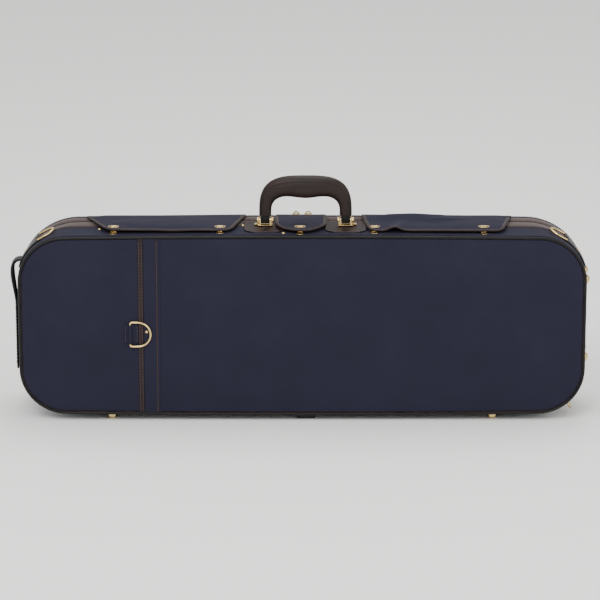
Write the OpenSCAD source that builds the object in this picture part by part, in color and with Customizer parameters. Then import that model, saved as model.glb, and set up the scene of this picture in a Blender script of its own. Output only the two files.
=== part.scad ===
// Oblong violin case, standing upright on its spine feet.
// X runs along the case, Z up, and the base shell's outer face looks towards -Y.
// Most pieces are worked out about the middle of the case, and stand() lifts them onto the floor.

/* [Case] */
// Length of the flat base face
case_len = 790; // [640:10:960]
// Width of the flat base face, which is its height as the case stands
case_wid = 262; // [210:2:320]
// Depth of the base shell, from its face to the split
base_depth = 71; // [56:1:90]
// Depth of the lid shell
lid_depth = 60; // [48:1:80]
// How far each side leans out between the base face and the split
flare = 3; // [0:0.5:6]
// Corner radius of the base face
face_corner_r = 66; // [50:1:80]
// Corner radius at the split
split_corner_r = 86; // [70:1:100]
// Half the angle that the gently bowed long sides turn through
bow_angle = 0.7; // [0.2:0.1:2]
// How far the domed lid draws in at its outer face
lid_crown = 18; // [8:1:24]

/* [Walls] */
// Thickness of the outer fabric
cover_t = 1.2; // [0.8:0.1:2]
// Thickness of the laminated shells
shell_t = 5; // [3:0.5:8]
// Thickness of the lid's padded lining
lining_t = 5; // [3:0.5:8]
// Thickness of the foam under the violin
floor_t = 8; // [5:1:14]
// Radius of the piping cord
piping_r = 2; // [1.5:0.1:3]

/* [Zip] */
// Width of each zip tape
tape_w = 17; // [12:1:22]
// Width of the leather binding beside the base tape
binding_w = 7; // [4:1:10]
// Width of one row of zip teeth
teeth_w = 2.6; // [2:0.1:4]
// Length of a slider's body
slider_len = 11; // [8:1:14]
// Distance from the split to the lid pocket's zip
pocket_zip_at = 27; // [25:1:34]

/* [Handle] */
// Outer width of the carrying handle
handle_w = 129; // [110:1:150]
// Height of the handle above its pivot
handle_h = 64; // [55:1:80]
// Width of each leg
leg_w = 17; // [13:1:20]
// Half the thickness of a leg
leg_half_t = 6.5; // [5:0.5:8]
// Half the thickness of the grip at its middle
grip_half_t = 11; // [8:0.5:13]
// How far the handle stands to the right of the middle
handle_x = 4.5; // [0:0.5:8]
// Distance of the handle's pivot behind the base face
handle_at = 44; // [38:1:48]
// Height of the handle's pivot above the band
pivot_h = 8.5; // [7:0.5:12]
// Radius of the handle's pins
pin_r = 1.5; // [1.2:0.1:2]

/* [Flaps] */
// Thickness of the flaps
flap_t = 1.8; // [1.4:0.1:2.4]
// Clear height under the flaps at the split
flap_lift = 1.4; // [1.2:0.1:3]
// Width of the leather edging
edging_w = 5; // [3:0.5:8]
// Distance of the flaps' free edge behind the base face
flap_edge = 12; // [9:1:16]
// Distance of the flaps' hinge line past the split
flap_root = 13; // [12:1:16]
// Distance of the turn locks behind the base face
lock_at = 26; // [22:1:30]

/* [Rings] */
// Radius of the D-ring wire
ring_wire_r = 1.5; // [1:0.1:2]
// Inside width of the shoulder-strap rings
strap_ring_w = 25; // [20:1:30]
// Inside width of the D-ring on the face
face_ring_w = 32; // [26:1:36]

/* [Feet] */
// Height of the spine feet under the case
foot_h = 5; // [4.5:0.5:8]
// Radius of the domed feet
foot_r = 7; // [5:0.5:9]

/* [Hidden] */
$fn = 48;

gap = 0.1; // between layers of one body
part_gap = 0.3; // between bodies
y_face = -(base_depth + lid_depth) / 2;
y_split = y_face + base_depth;
y_far = y_split + lid_depth;
split_half_w = case_wid / 2 + flare;
split_half_l = case_len / 2 + flare;
floor_z = split_half_w + foot_h; // the middle's height above the floor
under_cover = cover_t + gap;
under_shell = under_cover + shell_t + gap;
side_lean = atan(flare / base_depth);
lid_band = 20; // straight part of the lid's side before its crown
crown_power = 1.4; // how suddenly the lid's side starts to draw in
bore_gap = 0.15; // around a wire in its loop
cut = 1; // how far a cutting solid passes the surface it opens

// --- The case's outline, as stations [half length, half width, corner radius] along Y ---

function mix(a, b, s) = a + (b - a) * s;

function base_station(y) =
    let (s = (y - y_face) / base_depth)
    [case_len / 2 + flare * s, case_wid / 2 + flare * s, mix(face_corner_r, split_corner_r, s)];

function crown(d) =
    d <= lid_band ? 0 : lid_crown * pow((d - lid_band) / (lid_depth - lid_band), crown_power);

function lid_station(y) =
    let (inset = crown(y - y_split))
    [split_half_l - inset, split_half_w - inset, split_corner_r - inset];

function station(y) = y <= y_split ? base_station(y) : lid_station(y);

// Each entry is [side in X, side in Z, angle of the outward normal]; 0 in X is a bowed long side.
corner_steps = 10;
side_steps = 6;
function corner_run(sx, sz, a0, a1) =
    [for (i = [0:corner_steps]) [sx, sz, mix(a0, a1, i / corner_steps)]];
function side_run(sz, mid) =
    [for (i = [1:side_steps - 1]) [0, sz, mid - bow_angle + 2 * bow_angle * i / side_steps]];
RIM = concat(
    corner_run(1, 1, 0, 90 - bow_angle), side_run(1, 90),
    corner_run(-1, 1, 90 + bow_angle, 180), corner_run(-1, -1, 180, 270 - bow_angle),
    side_run(-1, 270), corner_run(1, -1, 270 + bow_angle, 360)
);
// The zip runs along the top and down both ends, and stops half way round the spine's corners.
zip_stop = 45;
turn_steps = 5;
ZIP_PATH = concat(
    [for (i = [0:turn_steps]) [1, -1, mix(360 - zip_stop, 360, i / turn_steps)]],
    corner_run(1, 1, 0, 90 - bow_angle), side_run(1, 90),
    corner_run(-1, 1, 90 + bow_angle, 180),
    [for (i = [0:turn_steps]) [-1, -1, mix(180, 180 + zip_stop, i / turn_steps)]]
);
SPINE_PATH = concat(
    [for (i = [0:turn_steps])
        [-1, -1, mix(180 + zip_stop, 270 - bow_angle, i / turn_steps)]],
    side_run(-1, 270),
    [for (i = [0:turn_steps])
        [1, -1, mix(270 + bow_angle, 360 - zip_stop, i / turn_steps)]]
);

// The point of the outline at entry e, depth y and inset t.
function rim_point(e, y, t) =
    let (
        s = station(y),
        a = s[0] - s[2],
        k = a / sin(bow_angle),
        r = s[2] - t
    )
    e[0] == 0
        ? [(k + r) * cos(e[2]), y, e[1] * (s[1] - k - s[2]) + (k + r) * sin(e[2])]
        : [e[0] * a + r * cos(e[2]), y,
           e[1] * (s[1] - s[2] - a * tan(bow_angle / 2)) + r * sin(e[2])];

// Height of the top side at x, on the bowed stretch.
function top_z(x, y) =
    let (s = station(y), k = (s[0] - s[2]) / sin(bow_angle) + s[2])
    s[1] - k + sqrt(k * k - x * x);

// A closed solid through a list of rings with equal counts; wrapped joins the last to the first.
module loft(rings, wrapped = false) {
    n = len(rings[0]);
    m = len(rings);
    spans = wrapped ? m : m - 1;
    points = [for (ring = rings) each ring];
    sides = [
        for (i = [0:spans - 1], j = [0:n - 1])
            [i * n + j, i * n + (j + 1) % n, ((i + 1) % m) * n + (j + 1) % n, ((i + 1) % m) * n + j]
    ];
    caps = wrapped ? [] : [[for (j = [n - 1:-1:0]) j], [for (j = [0:n - 1]) (m - 1) * n + j]];
    polyhedron(points, concat(sides, caps), convexity = 8);
}

// A section, listed as [y, inset], carried along part of the outline or all round it.
module band(path, section) {
    loft([for (e = path) [for (p = section) rim_point(e, p[0], p[1])]]);
}
module ring_band(section) {
    loft([for (e = RIM) [for (p = section) rim_point(e, p[0], p[1])]], wrapped = true);
}
// A solid whose outline follows a profile, listed as [y, inset], closed across both ends.
module shell_loft(profile) {
    loft([for (p = profile) [for (e = RIM) rim_point(e, p[0], p[1])]]);
}
function box_section(y0, y1, t0, t1) = [[y0, t0], [y0, t1], [y1, t1], [y1, t0]];

module stand() {
    translate([0, 0, floor_z])
        children();
}

// Puts something on the top band at x, and d behind the base face.
module on_top(x, d) {
    translate([x, y_face + d, top_z(x, y_face + d)])
        rotate([side_lean, 0, 0])
            children();
}

// A flat bar with round ends, along X, standing on z = 0.
module stadium(len_x, wid, h) {
    for (s = [-1, 1])
        translate([s * (len_x - wid) / 2, 0, 0])
            cylinder(h = h, d = wid);
    translate([-(len_x - wid) / 2, -wid / 2, 0])
        cube([len_x - wid, wid, h]);
}

// --- Base shell ---

bead_at = 1.2; // depth of the piping's centre behind each face
bead_y = y_face + bead_at;
bead_t = piping_r;
bead_seat = 2 * piping_r + 0.3;
base_end = y_split - part_gap / 2;
inner_face = y_face + under_shell;
groove_w = 2; // the groove between tape and teeth takes the slider's flange
tape_inset = 0.2;
tape_stop = base_end - teeth_w - groove_w;
tape_start = tape_stop - tape_w;
binding_start = tape_start - binding_w;
binding_proud = 0.6;

module base_shell() {
    color("tan") stand() shell_loft([
        [y_face + under_cover, bead_seat + under_cover],
        [y_face + bead_seat, bead_seat + under_cover],
        [y_face + bead_seat, under_cover],
        [base_end, under_cover],
        [base_end, under_cover + shell_t],
        [y_face + under_cover + shell_t, under_cover + shell_t]
    ]);
}

module base_face_cover() {
    color("midnightblue") stand() shell_loft([
        [y_face, bead_seat],
        [y_face + cover_t, bead_seat]
    ]);
}

module base_side_cover() {
    color("darkslateblue") stand() {
        ring_band(box_section(y_face + bead_seat, binding_start - gap, 0, cover_t));
        band(SPINE_PATH, box_section(binding_start - gap, base_end, 0, cover_t));
    }
}

module piping_bead(y, t) {
    ring_band([
        for (i = [0:7])
            [y + piping_r * sin(45 * i + 22.5), t - piping_r * cos(45 * i + 22.5)]
    ]);
}

module base_piping() {
    color("black") stand() piping_bead(bead_y, bead_t);
}

module base_zip_tape() {
    color("rosybrown") stand() band(ZIP_PATH, [
        [binding_start, cover_t], [tape_stop, cover_t], [tape_stop, tape_inset],
        [tape_start, tape_inset], [tape_start, -binding_proud], [binding_start, -binding_proud]
    ]);
}

module base_zip_teeth() {
    color("saddlebrown") stand()
        band(ZIP_PATH, box_section(base_end - teeth_w, base_end, cover_t, 0));
}

// --- Inside the base ---

lining_top = y_split - 4;
cavity_floor = inner_face + floor_t;
lower_bout_r = 109;
upper_bout_r = 88;
waist_half_w = 78;
lower_bout_x = case_len / 2 - lower_bout_r - 24;
upper_bout_x = lower_bout_x - 152;
neck_x = upper_bout_x - 100;
neck_half_w = 26;
neck_rise = 10; // height of the neck's channel above the floor of the cavity
scroll_from = neck_x - 160;
scroll_to = neck_x - 90;
scroll_half_w = 36;
tray_from = neck_x - 78;
tray_to = neck_x + 8;
tray_low = 46;
tray_wall = 20;
well_wall = 8;
well_right = -case_len / 2 + 155;
lid_board_t = 3;
ledge = 4; // width of the ledge that the accessory lid rests on

module well_space(y0, y1, inset) {
    intersection() {
        shell_loft([[y0, inset], [y1, inset]]);
        translate([-case_len, y0 - 1, -case_wid])
            cube([case_len + well_right - inset + under_shell + well_wall, y1 - y0 + 2,
                  2 * case_wid]);
    }
}

module along_y(y0, y1) {
    translate([0, y1, 0])
        rotate([90, 0, 0])
            linear_extrude(y1 - y0)
                children();
}

module rounded(x0, x1, z0, z1, r) {
    hull()
        for (x = [x0 + r, x1 - r], z = [z0 + r, z1 - r])
            translate([x, z])
                circle(r = r, $fn = 32);
}

module base_lining() {
    tray_high = case_wid / 2 - tray_wall;
    color("seagreen") stand() difference() {
        shell_loft([[inner_face, under_shell], [lining_top, under_shell]]);
        along_y(cavity_floor, y_split) {
            translate([lower_bout_x, 0]) circle(r = lower_bout_r);
            translate([upper_bout_x, 0]) circle(r = upper_bout_r);
            translate([upper_bout_x, -waist_half_w])
                square([lower_bout_x - upper_bout_x, 2 * waist_half_w]);
        }
        along_y(cavity_floor + neck_rise, y_split)
            translate([scroll_from, -neck_half_w])
                square([upper_bout_x - 60 - scroll_from, 2 * neck_half_w]);
        along_y(cavity_floor, y_split)
            rounded(scroll_from, scroll_to, -scroll_half_w, scroll_half_w, 10);
        for (s = [-1, 1])
            along_y(cavity_floor, y_split)
                rounded(tray_from, tray_to, min(s * tray_low, s * tray_high),
                        max(s * tray_low, s * tray_high), 12);
        well_space(inner_face + 4, y_split, under_shell + well_wall);
        well_space(lining_top - lid_board_t - gap, y_split, under_shell + well_wall - ledge);
    }
}

module pad(x, y, size_x, size_z, h) {
    along_y(y, y + h)
        translate([x, 0])
            rounded(-size_x / 2, size_x / 2, -size_z / 2, size_z / 2, 8);
}

pad_h = 12;
neck_pad_h = 22;
neck_groove_half_w = 16;

// Two pads carry the body of the violin, and a grooved one its neck.
module cushions() {
    color("mediumseagreen") stand() {
        pad(lower_bout_x + 65, cavity_floor + gap, 46, 110, pad_h);
        pad(upper_bout_x - 45, cavity_floor + gap, 40, 96, pad_h);
        difference() {
            pad(neck_x - 30, cavity_floor + neck_rise + gap, 40, 50, neck_pad_h);
            along_y(cavity_floor + neck_rise + pad_h, y_split)
                translate([neck_x - 80, -neck_groove_half_w])
                    square([100, 2 * neck_groove_half_w]);
        }
    }
}

module accessory_lid() {
    board_inset = under_shell + well_wall - ledge + part_gap;
    board_y = lining_top - lid_board_t;
    pull_tab = [16, 2, 24];
    color("darkgreen") stand() {
        well_space(board_y, lining_top, board_inset);
        translate([well_right - 70, lining_top - gap, case_wid / 2 - 44])
            cube(pull_tab);
    }
}

// --- Face strip, its ring, rivets and corner tabs ---

strip_x = -197; // right edge of the strip
strip_w = 31;
strip_t = 1;
strip_edge_w = 7;
strip_seam = 3; // from the strip's ends to the piping
chape_t = 1;
chape_wrap = 0.9; // thickness of the chape round the ring's bar
chape_tail = 8; // how far the chape reaches past the bar
face_ring_x = -239.5;
face_ring_z = -11;
face_stud = [-216.5, -8];
wire_lift = 0.7; // the ring's wire stands this far off the strip
wire_y = y_face - strip_t - ring_wire_r - wire_lift; // centre of the face ring's wire

module strip_slab(x0, x1, thick) {
    half = case_wid / 2 - bead_seat - strip_seam;
    translate([x0, y_face - thick - gap, -half])
        cube([x1 - x0, thick, 2 * half]);
}

module face_strip() {
    color("slateblue") stand()
        strip_slab(strip_x - strip_w + strip_edge_w + gap, strip_x, strip_t);
}

module strip_edging() {
    color("saddlebrown") stand()
        strip_slab(strip_x - strip_w, strip_x - strip_w + strip_edge_w, strip_t);
}

chape_len = face_ring_w - 4;

module strip_chape() {
    right = strip_x - strip_w - gap;
    color("slateblue") stand() difference() {
        union() {
            translate([face_ring_x - chape_tail, y_face - gap - chape_t,
                       face_ring_z - chape_len / 2])
                cube([right - face_ring_x + chape_tail, chape_t, chape_len]);
            translate([face_ring_x, wire_y, face_ring_z - chape_len / 2])
                cylinder(h = chape_len, r = ring_wire_r + chape_wrap);
        }
        translate([face_ring_x, wire_y, face_ring_z - chape_len])
            cylinder(h = 2 * chape_len, r = ring_wire_r + bore_gap);
    }
}

module dome(r, h) {
    sphere_r = (r * r + h * h) / (2 * h);
    intersection() {
        translate([0, 0, h - sphere_r]) sphere(r = sphere_r);
        cylinder(h = h, r = r);
    }
}

tab_at = 35; // depth of the corner tabs and rings behind the base face
tab_y = y_face + tab_at;
tab_w = 22;
tab_t = 1.6;
tab_wrap = 1.1; // thickness of a tab round its ring's bar
tab_r = station(tab_y)[2] + 1;
tab_c = [station(tab_y)[0] - station(tab_y)[2],
         station(tab_y)[1] - station(tab_y)[2] - (station(tab_y)[0] - station(tab_y)[2])
             * tan(bow_angle / 2)];
// Distance of the corner rings' bars from the corner's centre.
bar_r = tab_r + ring_wire_r + tab_wrap + part_gap;
strap_ring_a = 36; // angle of the shoulder-strap rings from the vertical
corner_ring_a = 50; // angle of the lower ring below the horizontal
upper_tail_a = 18; // angle at which the upper tabs end
lower_tail_a = -16;
arc_steps = 12;
rivet_r = 2.5;
rivet_h = 1.4;

// A leather tab bent round a corner, with a loop for a ring's bar at one end.
// Angles are measured up from +X about the corner's centre.
module corner_tab(bar_a, tail_a, wid) {
    arc = [for (i = [0:arc_steps]) mix(bar_a, tail_a, i / arc_steps)];
    bar = [bar_r * cos(bar_a), bar_r * sin(bar_a)];
    along_y(-wid / 2, wid / 2) difference() {
        union() {
            polygon(concat(
                [for (a = arc) tab_r * [cos(a), sin(a)]],
                [for (i = [arc_steps:-1:0]) (tab_r + tab_t) * [cos(arc[i]), sin(arc[i])]]
            ));
            translate(bar) circle(r = ring_wire_r + tab_wrap);
        }
        translate(bar) circle(r = ring_wire_r + bore_gap);
    }
}

module at_corner(sx, sz) {
    translate([sx * tab_c[0], tab_y, sz * tab_c[1]])
        children();
}

module strap_tabs() {
    color("black") stand() {
        at_corner(1, 1) corner_tab(90 - strap_ring_a, upper_tail_a, tab_w);
        mirror([1, 0, 0]) at_corner(1, 1) corner_tab(90 - strap_ring_a, upper_tail_a, tab_w);
        at_corner(1, -1)
            corner_tab(-corner_ring_a, lower_tail_a, corner_ring_w - 2 * ring_wire_r);
    }
}

module rivets() {
    tab_rivet_a = 36;
    color("gold") stand() {
        translate([face_stud[0], y_face - strip_t - 2 * gap, face_stud[1]])
            rotate([90, 0, 0]) dome(rivet_r, rivet_h);
        for (s = [-1, 1])
            translate([s * (tab_c[0] + (tab_r + tab_t + gap) * cos(tab_rivet_a)), tab_y,
                       tab_c[1] + (tab_r + tab_t + gap) * sin(tab_rivet_a)])
                rotate([0, s * (90 - tab_rivet_a), 0]) dome(rivet_r, rivet_h);
        for (z = [end_handle_low + 7, bow_from - 7])
            translate([-(strap_back + strap_t + gap), tab_y, z])
                rotate([0, -90, 0]) dome(rivet_r, rivet_h);
    }
}

// A D-shaped wire ring: the bar runs along Y through the origin and the bow reaches towards +X.
module d_ring(inside_w, reach) {
    half = inside_w / 2 + ring_wire_r;
    bend = 2; // small radius where the bar meets the bow
    straight = reach - half - ring_wire_r;
    // Each entry is [x, y, direction of the ring's outside].
    path = concat(
        [for (a = [-90:10:90]) [straight + half * cos(a), half * sin(a), a]],
        [for (a = [90:30:180]) [bend + bend * cos(a), half - bend + bend * sin(a), a]],
        [for (a = [180:30:270]) [bend + bend * cos(a), bend - half + bend * sin(a), a]]
    );
    loft([
        for (p = path)
            [for (k = [0:9])
                [p[0] + ring_wire_r * cos(36 * k) * cos(p[2]),
                 p[1] + ring_wire_r * cos(36 * k) * sin(p[2]), ring_wire_r * sin(36 * k)]]
    ], wrapped = true);
}

strap_ring_reach = 26;
strap_ring_dip = 7;
face_ring_reach = 30;
corner_ring_w = 15;
corner_ring_reach = 17;
corner_ring_hang = 66; // angle below the horizontal at which the lower ring hangs

module strap_ring_right() {
    color("gold") stand()
        at_corner(1, 1)
            translate([bar_r * sin(strap_ring_a), 0, bar_r * cos(strap_ring_a)])
                rotate([0, 180 + strap_ring_a - strap_ring_dip, 0])
                    d_ring(strap_ring_w, strap_ring_reach);
}

module strap_ring_left() {
    mirror([1, 0, 0]) strap_ring_right();
}

module face_ring() {
    color("gold") stand()
        translate([face_ring_x, wire_y, face_ring_z])
            rotate([90, 0, 0]) d_ring(face_ring_w, face_ring_reach);
}

module corner_ring() {
    color("gold") stand()
        at_corner(1, -1)
            translate([bar_r * cos(corner_ring_a), 0, -bar_r * sin(corner_ring_a)])
                rotate([0, corner_ring_hang, 0]) d_ring(corner_ring_w, corner_ring_reach);
}

// --- End handle and feet ---

end_handle_low = -70;
end_handle_high = 92;
strap_t = 3;
strap_w = 20;
strap_back = station(tab_y + strap_w / 2)[0] + binding_proud + gap;
strap_mid = strap_back + strap_t / 2;
bow_from = end_handle_high - 68; // the strap is sewn down below this height
bow_out = 16; // how strongly the strap bows out before it curls in to the corner
// The strap's free part is a curve with these four control points, as [distance from the middle, Z].
STRAP_CURVE = [
    [strap_mid, bow_from], [strap_mid, bow_from + 26],
    [strap_mid + bow_out, end_handle_high - 2], [strap_mid - 12, end_handle_high - 4]
];
function bezier(p, u) =
    pow(1 - u, 3) * p[0] + 3 * u * pow(1 - u, 2) * p[1] + 3 * u * u * (1 - u) * p[2]
    + pow(u, 3) * p[3];

// The point at u of the strap's free part, moved by side to the strap's outside.
function strap_edge(u, side) =
    let (
        nudge = 0.01,
        d = bezier(STRAP_CURVE, u + nudge) - bezier(STRAP_CURVE, u - nudge)
    )
    bezier(STRAP_CURVE, u) + side / norm(d) * [d[1], -d[0]];

module end_handle() {
    steps = 24;
    us = [for (i = [0:steps]) i / steps];
    color("black") stand() mirror([1, 0, 0]) difference() {
        along_y(tab_y - strap_w / 2, tab_y + strap_w / 2) polygon(concat(
            [[strap_mid - strap_t / 2, end_handle_low]],
            [for (u = us) strap_edge(u, -strap_t / 2)],
            [for (i = [steps:-1:0]) strap_edge(us[i], strap_t / 2)],
            [[strap_mid + strap_t / 2, end_handle_low]]
        ));
        // The upper end stops on the corner tab.
        at_corner(1, 1) along_y(-strap_w, strap_w) circle(r = tab_r + tab_t + gap);
    }
}

spine_foot_x = case_len / 2 - 128;
spine_foot_at = 16;
end_foot_z = 57;
end_foot_at = 40;
end_foot_h = 4.5;
spine_dome_h = 2.5;
spine_seat = 0.95; // from the cover to the top of a spine foot

module spine_foot(x, y) {
    rise = split_half_w - top_z(x, y) + foot_h;
    stalk = rise - spine_seat - spine_dome_h;
    translate([x, y, -floor_z]) mirror([0, 0, 1]) translate([0, 0, spine_seat - rise]) {
        cylinder(h = stalk, r = foot_r - 1);
        translate([0, 0, stalk]) dome_foot();
    }
}

// A brass dome with a small flat that the case rests on.
module dome_foot() {
    ball = foot_r + 2;
    flat_r = 4.5;
    intersection() {
        cylinder(h = spine_dome_h, r = foot_r);
        translate([0, 0, spine_dome_h - sqrt(ball * ball - flat_r * flat_r)]) sphere(r = ball);
    }
}

module end_foot(y) {
    reach = station(y + foot_r)[0] + binding_proud + gap;
    for (z = [-end_foot_z, end_foot_z])
        translate([reach, y, z])
            rotate([0, 90, 0]) dome(foot_r, end_foot_h);
}

module base_feet() {
    color("gold") stand() {
        for (s = [-1, 1]) spine_foot(s * spine_foot_x, y_face + spine_foot_at);
        end_foot(y_face + end_foot_at);
    }
}

module lid_feet() {
    color("gold") stand() {
        for (s = [-1, 1]) spine_foot(s * spine_foot_x, y_split + lid_band);
        end_foot(y_split + lid_band - 6);
    }
}

module centre_foot() {
    size = [25, 12, foot_h + 1.5];
    color("black") stand()
        translate([-7, y_face + spine_foot_at - size[1] / 2, -floor_z])
            cube(size);
}

// --- Carrying handle ---

foot_span = handle_w / 2 - leg_w / 2; // distance of each leg from the handle's middle
pivot_y = y_face + handle_at;
pivot_z = top_z(0, pivot_y) + pivot_h;
patch_t = 0.7;
patch_half_w = 30;
patch_front = 29;
patch_back = 18;
bracket_plate_t = 1.5;
plate_lift = 1.4; // clears the patch where the band leans up
ear_r = 5;
boss_r = 4.6;
base_half_w = 8;
splay = 7; // how far each bracket's outer foot reaches
pin_head_r = 4.2;
pin_head_t = 3;
end_w = 12;
ear_t = 2;
ear_gap = end_w + 2 * part_gap;
leg_foot = 8; // where the grip's legs begin, above the pivot

module at_legs() {
    for (s = [-1, 1])
        translate([handle_x + s * foot_span, pivot_y, 0])
            children();
}

module handle_patches() {
    color("saddlebrown") stand()
        for (s = [-1, 1])
            on_top(handle_x + s * foot_span, handle_at - 2)
                translate([-patch_half_w, -patch_front, binding_proud + gap])
                    cube([2 * patch_half_w, patch_front + patch_back, patch_t]);
}

module handle_brackets() {
    plate_z = top_z(handle_x + foot_span, pivot_y) + patch_t + plate_lift;
    outer = ear_gap / 2 + ear_t;
    rise = pivot_z - plate_z;
    color("gold") stand() difference() {
        for (s = [-1, 1]) translate([handle_x + s * foot_span, pivot_y, 0]) {
            translate([-outer - 2, -base_half_w, plate_z])
                cube([2 * outer + 4, 2 * base_half_w, bracket_plate_t]);
            for (e = [-1, 1]) translate([e * (ear_gap + ear_t) / 2, 0, 0]) {
                translate([-ear_t / 2, -ear_r, plate_z]) cube([ear_t, 2 * ear_r, rise]);
                translate([-ear_t / 2, 0, pivot_z]) rotate([0, 90, 0])
                    cylinder(h = ear_t, r = ear_r);
            }
            translate([0, 0, plate_z]) along_y(-3, 3)
                polygon([[s * (outer - 0.5), 0], [s * (outer + splay), 0],
                         [s * (outer + splay), bracket_plate_t], [s * outer, rise - pin_head_r],
                         [s * (outer - 0.5), rise - pin_head_r]]);
        }
        translate([-case_len / 4, pivot_y, pivot_z]) rotate([0, 90, 0])
            cylinder(h = case_len / 2, r = pin_r);
    }
}

module handle_pins() {
    half = ear_gap / 2 + ear_t;
    color("goldenrod") stand() at_legs() rotate([0, 90, 0]) translate([-pivot_z, 0, 0]) {
        translate([0, 0, -half - 1]) cylinder(h = 2 * half + 2, r = pin_r);
        for (s = [-1, 1]) translate([0, 0, s * (half + gap + pin_head_t / 2) - pin_head_t / 2])
            cylinder(h = pin_head_t, r = pin_head_r);
    }
}

module handle_ends() {
    color("black") stand() difference() {
        at_legs() {
            translate([-end_w / 2, 0, pivot_z]) rotate([0, 90, 0])
                cylinder(h = end_w, r = boss_r);
            translate([-end_w / 2, -boss_r, pivot_z])
                cube([end_w, 2 * boss_r, leg_foot - 0.25]);
        }
        translate([-case_len / 4, pivot_y, pivot_z]) rotate([0, 90, 0])
            cylinder(h = case_len / 2, r = pin_r + 0.06);
    }
}

// The grip is a run of oval sections between an outer and an inner arch.
arch_power = 3.2;
inner_h = 38;
belly = 6;
function arch(half_w, h, u) =
    let (c = -cos(180 * u), s = sin(180 * u))
    [half_w * sign(c) * pow(abs(c), 2 / arch_power), h * pow(s, 2 / arch_power)];

module handle_grip() {
    sections = 36;
    sides = 16;
    half = handle_w / 2;
    rings = [
        for (i = [0:sections])
            let (
                u = i / sections,
                o = arch(half, handle_h - leg_foot, u),
                n = arch(half - leg_w, inner_h - leg_foot, u),
                drop = belly * exp(-pow(n[0] / 26, 2)),
                inn = [n[0], n[1] - drop],
                mid = (o + inn) / 2,
                out = (o - inn) / 2,
                t = mix(leg_half_t, grip_half_t, pow(sin(180 * u), 2))
            )
            [for (k = [0:sides - 1])
                let (a = 360 * k / sides)
                [mid[0] + out[0] * cos(a), t * sin(a), mid[1] + out[1] * cos(a)]]
    ];
    color("dimgray") stand()
        translate([handle_x, pivot_y, pivot_z + leg_foot + 0.02])
            loft(rings);
}

// --- Flaps and turn locks ---

flap_z = split_half_w + flap_lift; // underside of the flaps
root_y = y_split + flap_root;
lock_y = y_face + lock_at;
LOCKS = [-262, -114, -3, 100, 252];

// Outlines as [x, distance behind the base face]; they end at the hinge line.
hinge_at = base_depth + flap_root;
left_flap = [[-303, hinge_at], [-272, flap_edge], [-98, flap_edge], [-78, hinge_at]];
right_flap = [[82, hinge_at], [92, flap_edge], [266, flap_edge], [301, hinge_at]];
tip_reach = 5; // how far the middle flap's tip passes the other flaps' edge
tip_from = 46; // distance behind the base face at which the middle flap starts to round in
flap_corner_r = 12;
middle_flap = concat(
    [[-38, hinge_at]],
    [for (a = [180:10:360]) [-2 + 36 * cos(a), tip_from + (tip_from - flap_edge + tip_reach) * sin(a)]],
    [[34, hinge_at]]
);

module flap_shape(outline, inset = 0) {
    intersection() {
        offset(delta = -inset, $fn = 32)
            offset(r = flap_corner_r, $fn = 32) offset(delta = -flap_corner_r) polygon(concat(
                outline, [[outline[len(outline) - 1][0], hinge_at + 30],
                          [outline[0][0], hinge_at + 30]]));
        translate([-case_len / 2, 0]) square([case_len, hinge_at - 0.2]);
    }
}

module flap_slab(z, thick) {
    translate([0, y_face, z]) linear_extrude(thick) children();
}

module lock_holes(indices, len_x, wid) {
    for (i = indices)
        translate([LOCKS[i], lock_y, flap_z - 2]) stadium(len_x, wid, 8);
}

eyelet_len = 15.5;
eyelet_wid = 9.5;
slot_len = 9.4;
slot_wid = 5;
eyelet_t = 0.8;
head_len = 5.8;
head_wid = 4.4;

module flap_panel(outline, indices) {
    color("slateblue") stand() difference() {
        flap_slab(flap_z, flap_t) flap_shape(outline, edging_w);
        lock_holes(indices, eyelet_len + 2 * gap, eyelet_wid + 2 * gap);
    }
}

module flap_edging(outline, indices) {
    color("saddlebrown") stand() difference() {
        flap_slab(flap_z - 0.1, flap_t + 0.3) difference() {
            flap_shape(outline);
            flap_shape(outline, edging_w - gap / 2);
            translate([-case_len / 2, hinge_at - 6]) square([case_len, 20]);
        }
        lock_holes(indices, eyelet_len + 2 * gap, eyelet_wid + 2 * gap);
    }
}

module eyelets(indices) {
    color("gold") stand() difference() {
        for (i = indices)
            translate([LOCKS[i], lock_y, flap_z]) {
                stadium(eyelet_len, eyelet_wid, eyelet_t);
                difference() {
                    stadium(eyelet_len, eyelet_wid, flap_t + 0.4);
                    translate([0, 0, -1]) stadium(eyelet_len - 3, eyelet_wid - 3, 6);
                }
            }
        lock_holes(indices, slot_len, slot_wid);
    }
}

module flap_left() { flap_panel(left_flap, [0, 1]); }
module flap_middle() { flap_panel(middle_flap, [2]); }
module flap_right() { flap_panel(right_flap, [3, 4]); }
module flap_edging_left() { flap_edging(left_flap, [0, 1]); }
module flap_edging_middle() { flap_edging(middle_flap, [2]); }
module flap_edging_right() { flap_edging(right_flap, [3, 4]); }
module eyelets_left() { eyelets([0, 1]); }
module eyelets_middle() { eyelets([2]); }
module eyelets_right() { eyelets([3, 4]); }

root_w = 5.5;
module flap_roots() {
    color("saddlebrown") stand()
        for (o = [left_flap, middle_flap, right_flap])
            translate([o[0][0] + 1, root_y + 0.3, split_half_w - 0.2])
                cube([o[len(o) - 1][0] - o[0][0] - 2, root_w, flap_lift + flap_t]);
}

plate_t = 0.7;
plate_off = 0.15; // height of the lock plates above the band
plate_len = 26;
plate_w = 13;
plate_back = 9; // how far the lock plates reach behind their buttons
head_top = flap_z - part_gap - gap;
head_t = 1;
stem_r = 1.6;

module lock_plates() {
    color("gold") stand()
        for (i = [0:len(LOCKS) - 1])
            on_top(LOCKS[i], lock_at) difference() {
                long = plate_len + (i == 2 ? tip_reach : 0);
                translate([0, plate_back - long / 2, plate_off]) rotate([0, 0, 90])
                    stadium(long, plate_w, plate_t);
                translate([0, 0, -1]) cylinder(h = 4, r = stem_r + part_gap);
            }
}

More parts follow.
